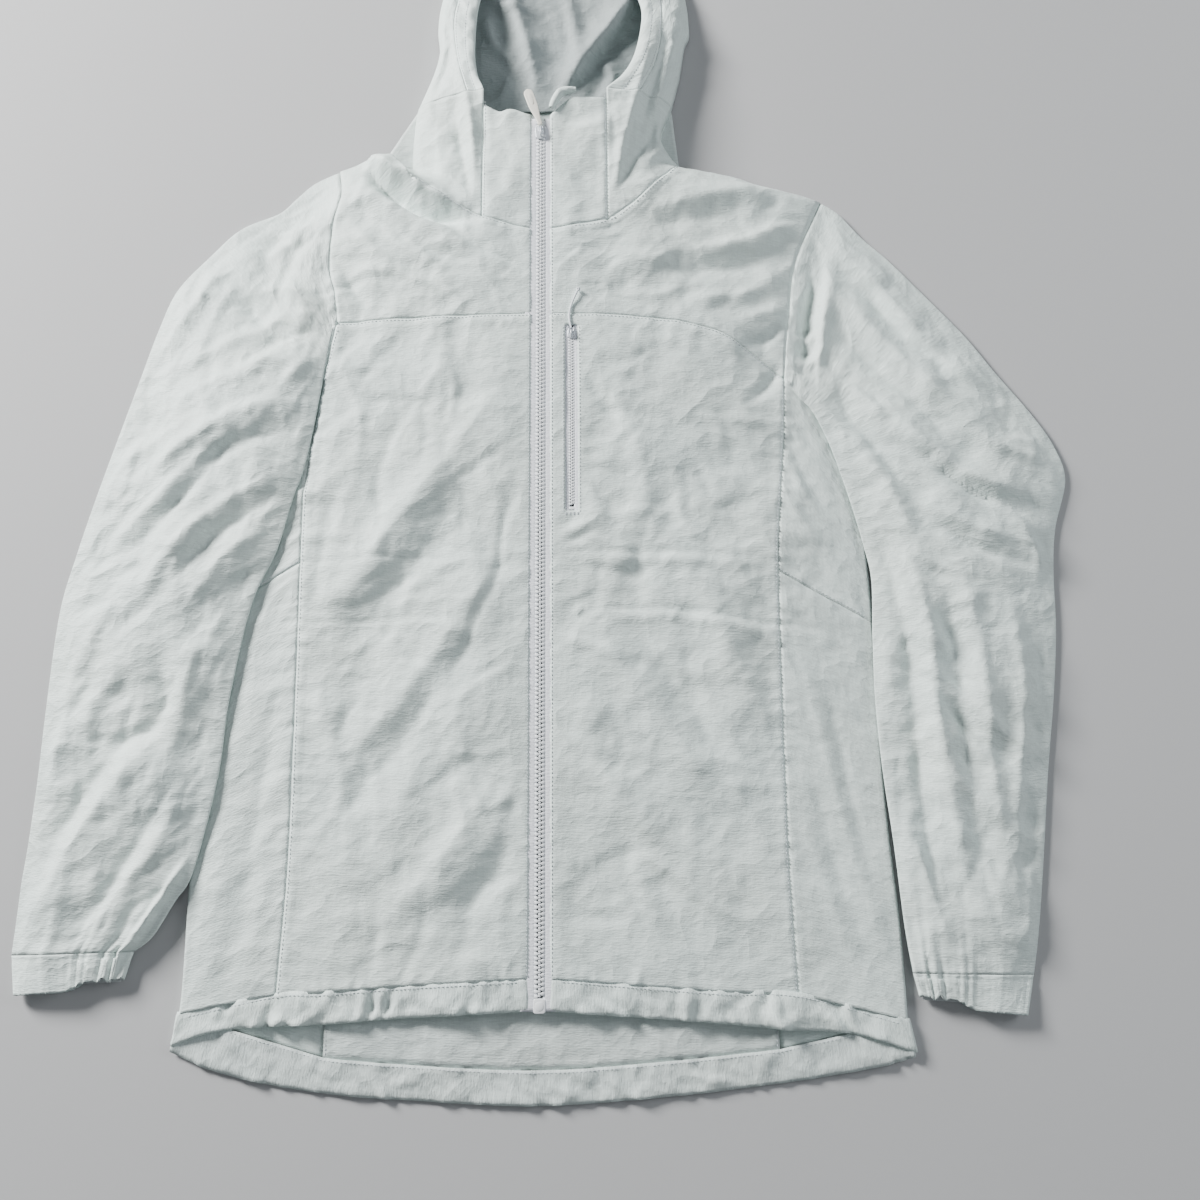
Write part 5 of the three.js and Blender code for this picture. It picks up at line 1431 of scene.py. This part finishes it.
zipper = {"pitch": 3.3, "inner": -0.9, "outer": 3.65, "low": -3.2, "high": -0.3, "tapeIn": 2.6, "tapeOut": 14,
          "tapeTop": -0.65, "tapeLow": -1.9, "from": 8.9, "to": 715.6, "slider": (0, 707.5)}
pocketZip = {"pitch": 2.4, "inner": -0.6, "outer": 2.35, "low": -2.9, "high": -0.74, "tapeIn": 1.7, "tapeOut": 8,
             "tapeTop": -0.78, "tapeLow": -2.1, "from": 380.6, "to": 529.4, "slider": (25, 525.6)}


def toothShape(zipSet):
    # one moulded tooth pointing to -X: a broad body on the tape, a waist and a round head
    i, o, p = zipSet["inner"], zipSet["outer"], zipSet["pitch"]
    body, waist, head = p * 0.40, p * 0.2, p * 0.27
    outline = [[o, -body], [o, body], [(i + o) / 2 + 0.5, body], [(i + o) / 2 - 0.1, waist], [i + 1.0, waist],
               [i + 0.7, head], [i + 0.2, head * 0.8], [i, 0], [i + 0.2, -head * 0.8], [i + 0.7, -head],
               [i + 1.0, -waist], [(i + o) / 2 - 0.1, -waist], [(i + o) / 2 + 0.5, -body]]
    return pillow(outline, zipSet["low"], zipSet["high"], 0.16, 1)


def teethRow(name, zipSet, side, x0, replaced):
    # teeth at equal steps; the two rows are half a step apart, so that they mesh
    count = int((zipSet["to"] - zipSet["from"]) / zipSet["pitch"]) - (side > 0)
    steps = zipSet["from"] + (np.arange(count) + 0.5 + (side > 0) * 0.5) * zipSet["pitch"]
    places = [[[side, 0, 0, x0], [0, side, 0, y], [0, 0, 1, 0]] for y in steps]
    points, quads, fans = copies(toothShape(zipSet), places)
    settle(solidPiece(name, (onPlane(points), quads, fans)), "teeth", "torso", replaced)


def ribbon(name, x0, x1, y0, y1, low, high, finish, replaced, wave=0.0, columns=8):
    # a flat woven tape in the zip's plane, with rounded edges and a slight ripple along it
    count = max(8, int((y1 - y0) / 3))
    y = np.linspace(y0, y1, count)
    share = np.linspace(0, 1, columns)
    x = x0 + (x1 - x0) * share
    middle, thick = (low + high) / 2, (high - low) / 2
    fall = np.sqrt(np.clip(1 - np.clip(np.abs(share - 0.5) * 2 - 0.8, 0, 1) ** 2 * 24, 0.05, 1))
    ripple = wave * noise(y / 12, y * 0 + x0, 161)
    plan = np.dstack(np.meshgrid(x, y))
    top, under = (np.dstack([plan, middle + way * thick * fall[None] + ripple[:, None]]) for way in (1, -1))
    settle(loopPiece(name, onPlane(np.concatenate([top, under[:, ::-1]], 1))), finish, "torso", replaced)


def sliderShape(long, wide, narrow, low, high, bridgeTop):
    # a moulded slider: two rounded plates that widen towards the top, joined by a post, flanges
    # down both sides and a bridge that the pull hangs on
    def halfWidth(y):
        return narrow + (wide - narrow) * ease(y, -long / 2, long / 2)

    t = np.linspace(0, 2 * math.pi, 28, endpoint=False)
    y = long / 2 * signed(np.sin(t), 0.55)
    plate = np.stack([signed(np.cos(t), 0.55) * halfWidth(y), y], 1)
    parts = [pillow(plate, high, high + 1.15, 0.45, 3), pillow(plate, low - 1.15, low, 0.45, 3)]
    for side in (-1, 1):
        flange = np.array([[-0.22, -long * 0.4], [0.22, -long * 0.4], [0.22, long * 0.36], [-0.22, long * 0.36]])
        flange = evenly(np.vstack([flange, flange[:1]]), 25)[:-1]
        flange[:, 0] += side * (halfWidth(flange[:, 1]) - 0.24)
        parts.append(pillow(flange, high - 0.35, high + 0.5, 0.12, 2))
        parts.append(pillow(flange, low - 0.5, low + 0.35, 0.12, 2))
    post = np.stack([0.42 * np.cos(t), long / 2 - 2.6 + 0.145 * long * np.sin(t)], 1)
    parts.append(pillow(post, low - 0.2, high + 0.2, 0.05, 1))
    arch = np.linspace(0, math.pi, 17)
    bridgeZ = high + 0.75 + (bridgeTop - high - 1.25) * np.sin(arch) ** 0.6
    path = np.stack([0 * arch, -long * 0.3 * np.cos(arch), bridgeZ], 1)
    points, quads, fans = tubeShape(path, 0.75, 10, flat=0.7)
    return merged([*parts, (points * [1.5, 1, 1], quads, fans)])


def shifted(shape, x=0.0, y=0.0, z=0.0, turn=0.0):
    # a shape turned in plan and moved, then laid on the zip's plane
    c, s = math.cos(turn), math.sin(turn)
    p = shape[0]
    moved = np.stack([p[:, 0] * c - p[:, 1] * s + x, p[:, 0] * s + p[:, 1] * c + y, p[:, 2] + z], 1)
    return onPlane(moved), shape[1], shape[2]


def linkPath(half, low, high, count=48):
    # a rounded rectangle, read evenly
    t = np.linspace(0, 2 * math.pi, 200)
    x = half * signed(np.cos(t), 0.45)
    y = (low + high) / 2 + (high - low) / 2 * signed(np.sin(t), 0.45)
    return evenly(np.stack([x, y, 0 * t], 1), count + 1)[:-1]


for side, word in ((-1, "right"), (1, "left")):
    name = word.capitalize()
    a, b = sorted([side * zipper["tapeIn"], side * zipper["tapeOut"]])
    ribbon("zipTape" + name, a, b, 0, 721, zipper["tapeLow"], zipper["tapeTop"], "tape", ["zip_tape_" + word], 0.1)
    teethRow("zipTeeth" + name, zipper, side, 0, ["zip_teeth_" + word])
    t = np.linspace(0, 2 * math.pi, 16, endpoint=False)
    stop = np.stack([side * 2.2 + 1.5 * signed(np.cos(t), 0.6),
                     717.6 + 1.25 * signed(np.sin(t), 0.6)], 1)
    piece = solidPiece("zipStop" + name, shifted(pillow(stop, -3.2, -0.5, 0.4, 3)))
    settle(piece, "teeth", "torso", ["zip_top_stop_" + word])

t = np.linspace(0, 2 * math.pi, 32, endpoint=False)
boxLine = np.stack([4.5 * signed(np.cos(t), 0.4),
                    3.8 + 5.3 * signed(np.sin(t), 0.4)], 1)
raised = np.stack([3.0 * np.cos(t), 3.6 + 3.2 * np.sin(t)], 1)
boxShape = merged([pillow(boxLine, -3.6, -0.2, 0.55, 3), pillow(raised, -0.4, 0.05, 0.2, 2)])
settle(solidPiece("zipBox", shifted(boxShape)), "teeth", "torso", ["zip_retainer_box"])
pinLine = np.stack([-2.35 + 1.05 * signed(np.cos(t), 0.5),
                    7.25 + 7.2 * signed(np.sin(t), 0.3)], 1)
settle(solidPiece("zipPin", shifted(pillow(pinLine, -2.8, -1.0, 0.3, 2))), "teeth", "torso",
       ["zip_insertion_pin"])
ribbon("zipFlap", -16, 16, 5.5, 715, -6.5, -5.3, "inside", ["zip_wind_flap"], 0.15, 10)

sliderY = zipper["slider"][1]
settle(solidPiece("mainSlider", shifted(sliderShape(12.4, 4.9, 4.2, -3.5, -0.15, 4.3), 0, sliderY)), "slider",
       "main_slider", ["main_slider"])
link = tubeShape(linkPath(1.9, -0.5, 4.7), 0.5, 10, closed=True)
settle(solidPiece("mainPullLink", shifted(link, 0, sliderY, 1.907)), "slider", "main_pull", ["main_pull_link"])
tab = {"long": 36, "wide": 8, "thick": 2.0, "lean": 19}
s = np.linspace(0, 1, 26)
halfWidth = tab["wide"] / 4 + tab["wide"] / 4 * ease(s, 0.1, 0.62)
halfWidth = halfWidth * np.sqrt(np.clip(1 - np.clip((s - 0.88) / 0.12, 0, 1) ** 2, 0.02, 1)) \
    * np.sqrt(np.clip(1 - np.clip((0.06 - s) / 0.06, 0, 1) ** 2, 0.1, 1))
tabLine = np.vstack([np.stack([halfWidth, s * tab["long"]], 1), np.stack([-halfWidth, s * tab["long"]], 1)[::-1]])
ridge = np.stack([1.9 * np.cos(t), tab["long"] * 0.72 + 5.6 * np.sin(t)], 1)
tabShape = merged([pillow(tabLine, -tab["thick"] / 2, tab["thick"] / 2, 0.7, 4),
                   pillow(ridge, 0.8, 1.25, 0.35, 3)])
settle(solidPiece("mainPullTab", shifted(tabShape, 0, 713.1, 1.907, math.radians(tab["lean"]))), "tab", "main_pull",
       ["main_pull_tab"])

# the small curl of cloth that the slider parks beside
garage = {"line": [[9, 729], [12, 737], [18, 745], [30, 747]], "radius": 3.6, "turn": (-0.3, 1.25),
          "swell": (0.12, 0.95)}
curl = smoothLine(garage["line"], 60)
garageTurn = np.linspace(*garage["turn"], 14) * math.pi
around = np.stack([garage["radius"] * np.cos(garageTurn), garage["radius"] * np.sin(garageTurn)], 1)
along = unit(np.gradient(curl, axis=0))
aside = np.stack([-along[:, 1], along[:, 0]], 1)
size = (0.5 + 0.5 * np.sin(np.linspace(*garage["swell"], 60) * math.pi))[:, None]
gx = curl[:, :1] + aside[:, :1] * around[None, :, 0] * size
gy = curl[:, 1:] + aside[:, 1:] * around[None, :, 0] * size
gz = centreTop(curl[:, 1:]) + 1.2 + around[None, :, 1] * size
garagePoints = np.dstack([gx, gy, gz + 0.4 * noise(gx / 6, gy / 6, 171)])
sew(gridPiece("zipGarage", garagePoints), "shell", "torso", ["zip_garage"])
print("main zip ready")


# chest pocket

for side, word in ((-1, "inner"), (1, "outer")):
    a, b = sorted([side * pocketZip["tapeIn"], side * pocketZip["tapeOut"]])
    ribbon("pocketTape" + word.capitalize(), 25 + a, 25 + b, 372, 537, pocketZip["tapeLow"], pocketZip["tapeTop"],
           "tape", ["pocket_tape_" + word], 0.05, 6)
    teethRow("pocketTeeth" + word.capitalize(), pocketZip, side, 25, ["pocket_teeth_" + word])
stopLine = np.stack([25 + 2.4 * signed(np.cos(t), 0.5),
                     378.3 + 1.3 * signed(np.sin(t), 0.5)], 1)
settle(solidPiece("pocketStop", shifted(pillow(stopLine, -2.9, -0.9, 0.4, 3))), "teeth", "torso",
       ["pocket_zip_stop"])
sliderParts = sliderShape(8, 3.3, 2.9, -3.2, -0.6, 3.2)
settle(solidPiece("pocketSlider", shifted(sliderParts, *pocketZip["slider"])), "slider", "pocket_slider",
       ["pocket_slider"])
link = tubeShape(linkPath(1.85, -0.45, 4.2), 0.45, 10, closed=True)
settle(solidPiece("pocketPullLink", shifted(link, *pocketZip["slider"], pullCord["link"])), "slider",
       "pocket_pull", ["pocket_pull_link"])

bag = {"x": (21, 150), "y": (336, 541), "under": 11}
grid = np.dstack(np.meshgrid(np.linspace(*bag["x"], 40), np.linspace(*bag["y"], 60)))
plainCloth("pocketBag", grid, lambda x, y: frontHeight(x, y) - bag["under"] + 0.5 * noise(x / 30, y / 30, 181),
           ["pocket_bag"], finish="mesh")

hangLoop = {"reach": 32, "middle": 676, "wide": 7, "foot": 1.8, "rise": 2.4, "thick": 0.8}
loopTurn = np.linspace(0, 1, 60)
loopX, loopY = np.meshgrid(-hangLoop["reach"] + 2 * hangLoop["reach"] * loopTurn,
                           np.linspace(-hangLoop["wide"] / 2, hangLoop["wide"] / 2, 8), indexing="ij")
loopZ = hangLoop["foot"] + hangLoop["rise"] * np.sin(math.pi * loopTurn) ** 0.5
loopGrid = np.dstack([loopX, hangLoop["middle"] + loopY, np.repeat(loopZ[:, None], 8, 1)])
settle(thicken(gridPiece("hangLoop", loopGrid), hangLoop["thick"]), "tape", "torso", ["hang_loop"])
print("pocket ready")


# sewing thread

thread = {"pitch": 3.1, "length": 2.0, "radius": 0.27, "lift": 0.2, "sides": 5}


def stitchLine(name, lines, height, body="torso", over=None):
    # a run of short stitches beside each line: every stitch is a small bent capsule between two
    # points that lie on the cloth
    points, quads, fans, start = [], [], [], 0
    sides, rings = thread["sides"], np.array([-0.5, -0.36, 0.0, 0.36, 0.5])
    girth = np.array([0.35, 0.9, 1.0, 0.9, 0.35]) * thread["radius"]
    for line in lines:
        run = runOf(line)
        middle = np.arange(thread["pitch"] / 2, run[-1], thread["pitch"])
        at = middle[:, None] + rings[None] * thread["length"]
        x, y = (np.interp(at, run, line[:, k]) for k in (0, 1))
        z = height(x, y) + thread["lift"] * np.cos(rings * math.pi)[None] - 0.02
        centre = np.stack([x, y, z], -1)
        along = unit(centre[:, -1] - centre[:, 0])
        aside = unit(np.cross(along, [0, 0, 1.0]))
        above = np.cross(aside, along)
        angle = np.arange(sides) * 2 * math.pi / sides
        ring = aside[:, None, None] * np.cos(angle)[None, None, :, None] \
            + above[:, None, None] * np.sin(angle)[None, None, :, None]
        skin = centre[:, :, None] + ring * girth[None, :, None, None]
        total = len(rings) * sides
        cell = flatFaces(len(rings), sides, True)[:, ::-1]
        shift = (np.arange(len(middle)) * total)[:, None, None] + start
        quads.append((cell[None] + shift).reshape(-1, 4))
        k = np.arange(1, sides - 1)
        ends = np.concatenate([np.stack([0 * k, k, k + 1], 1),
                               total - sides + np.stack([0 * k, k + 1, k], 1)])
        fans.append((ends[None] + shift).reshape(-1, 3))
        points.append(skin.reshape(-1, 3))
        start += len(middle) * total
    piece = solidPiece(name, (np.vstack(points), np.vstack(quads), np.vstack(fans)))
    settle(piece, "thread", body, (), over)


def beside(line, gap):
    # the same line moved sideways, left of its direction for a positive gap
    along = unit(np.gradient(line, axis=0))
    return line + np.stack([-along[:, 1], along[:, 0]], 1) * gap


for half in (right, left):
    side, name = half["side"], half["name"]
    rows = [
        beside(smoothLine(yokeLineOf(half)), side * 1.6),
        beside(smoothLine(sideSeamOf(half)), side * 1.6),
        beside(smoothLine(half["collarSeam"]), side * 1.5),
        beside(smoothLine(half["neckSide"] + half["neckFront"][1:]), side * 1.5),
        beside(smoothLine([half["sideSeamLow"][-1], half["sideFoldLow"][-1]])[:-2], side * 1.6),
        np.array([[side * 9.2, y] for y in range(24, 726, 3)], float),
    ]
    stitchLine("bodyStitches" + name, rows, torsoHeight)
    hemRow = smoothLine([[side * 16, build["hemDepth"] - 1.5], *[[x, y - 1.5] for x, y in half["hemSeam"]],
                         [half["sideSeamLow"][0][0], half["sideSeamLow"][0][1] - 1.5],
                         [half["sideFoldLow"][0][0] - side * 6, half["sideFoldLow"][0][1] - 2]])
    stitchLine("hemStitches" + name, [hemRow], hemHeight)

pocketRows = [np.array([[25 + dx, y] for y in range(374, 536, 3)], float) for dx in (-6.6, 6.6)]
pocketRows += [np.array([[25 + dx, y] for dx in np.linspace(-6, 6, 5)], float) for y in (372.6, 373.4, 374.2)]
stitchLine("pocketStitches", pocketRows, torsoHeight)
tailRow = beside(bandTop, -1.8)[6:-6]
stitchLine("tailStitches", [tailRow], lambda x, y: tailHeight(x, y) + 0.1)
backRows = [np.array([[x, y] for y in range(-30, 12, 3)], float) for x in (-155.4, 172.4)]
stitchLine("backStitches", backRows, backHeight)
for label, across, share in (("brimStitches", 0.08, 0.65), ("brimEdgeStitches", 0.52, 0.82)):
    low = hood["fall"] * max(0, (share - hood["seamShare"]) / (1 - hood["seamShare"]) - 0.55) ** 2 / 0.2025
    stitchLine(label, [seam * (1 - across) + rim * across],
               lambda x, y: hoodHeight(x, y, share + 0 * x) - low - 0.25, None, hoodBend)
print("thread ready")

for node in ("right", "left"):
    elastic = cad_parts["cuff_elastic_" + node]
    elastic.data.materials.clear()
    elastic.data.materials.append(finishes["elastic"])
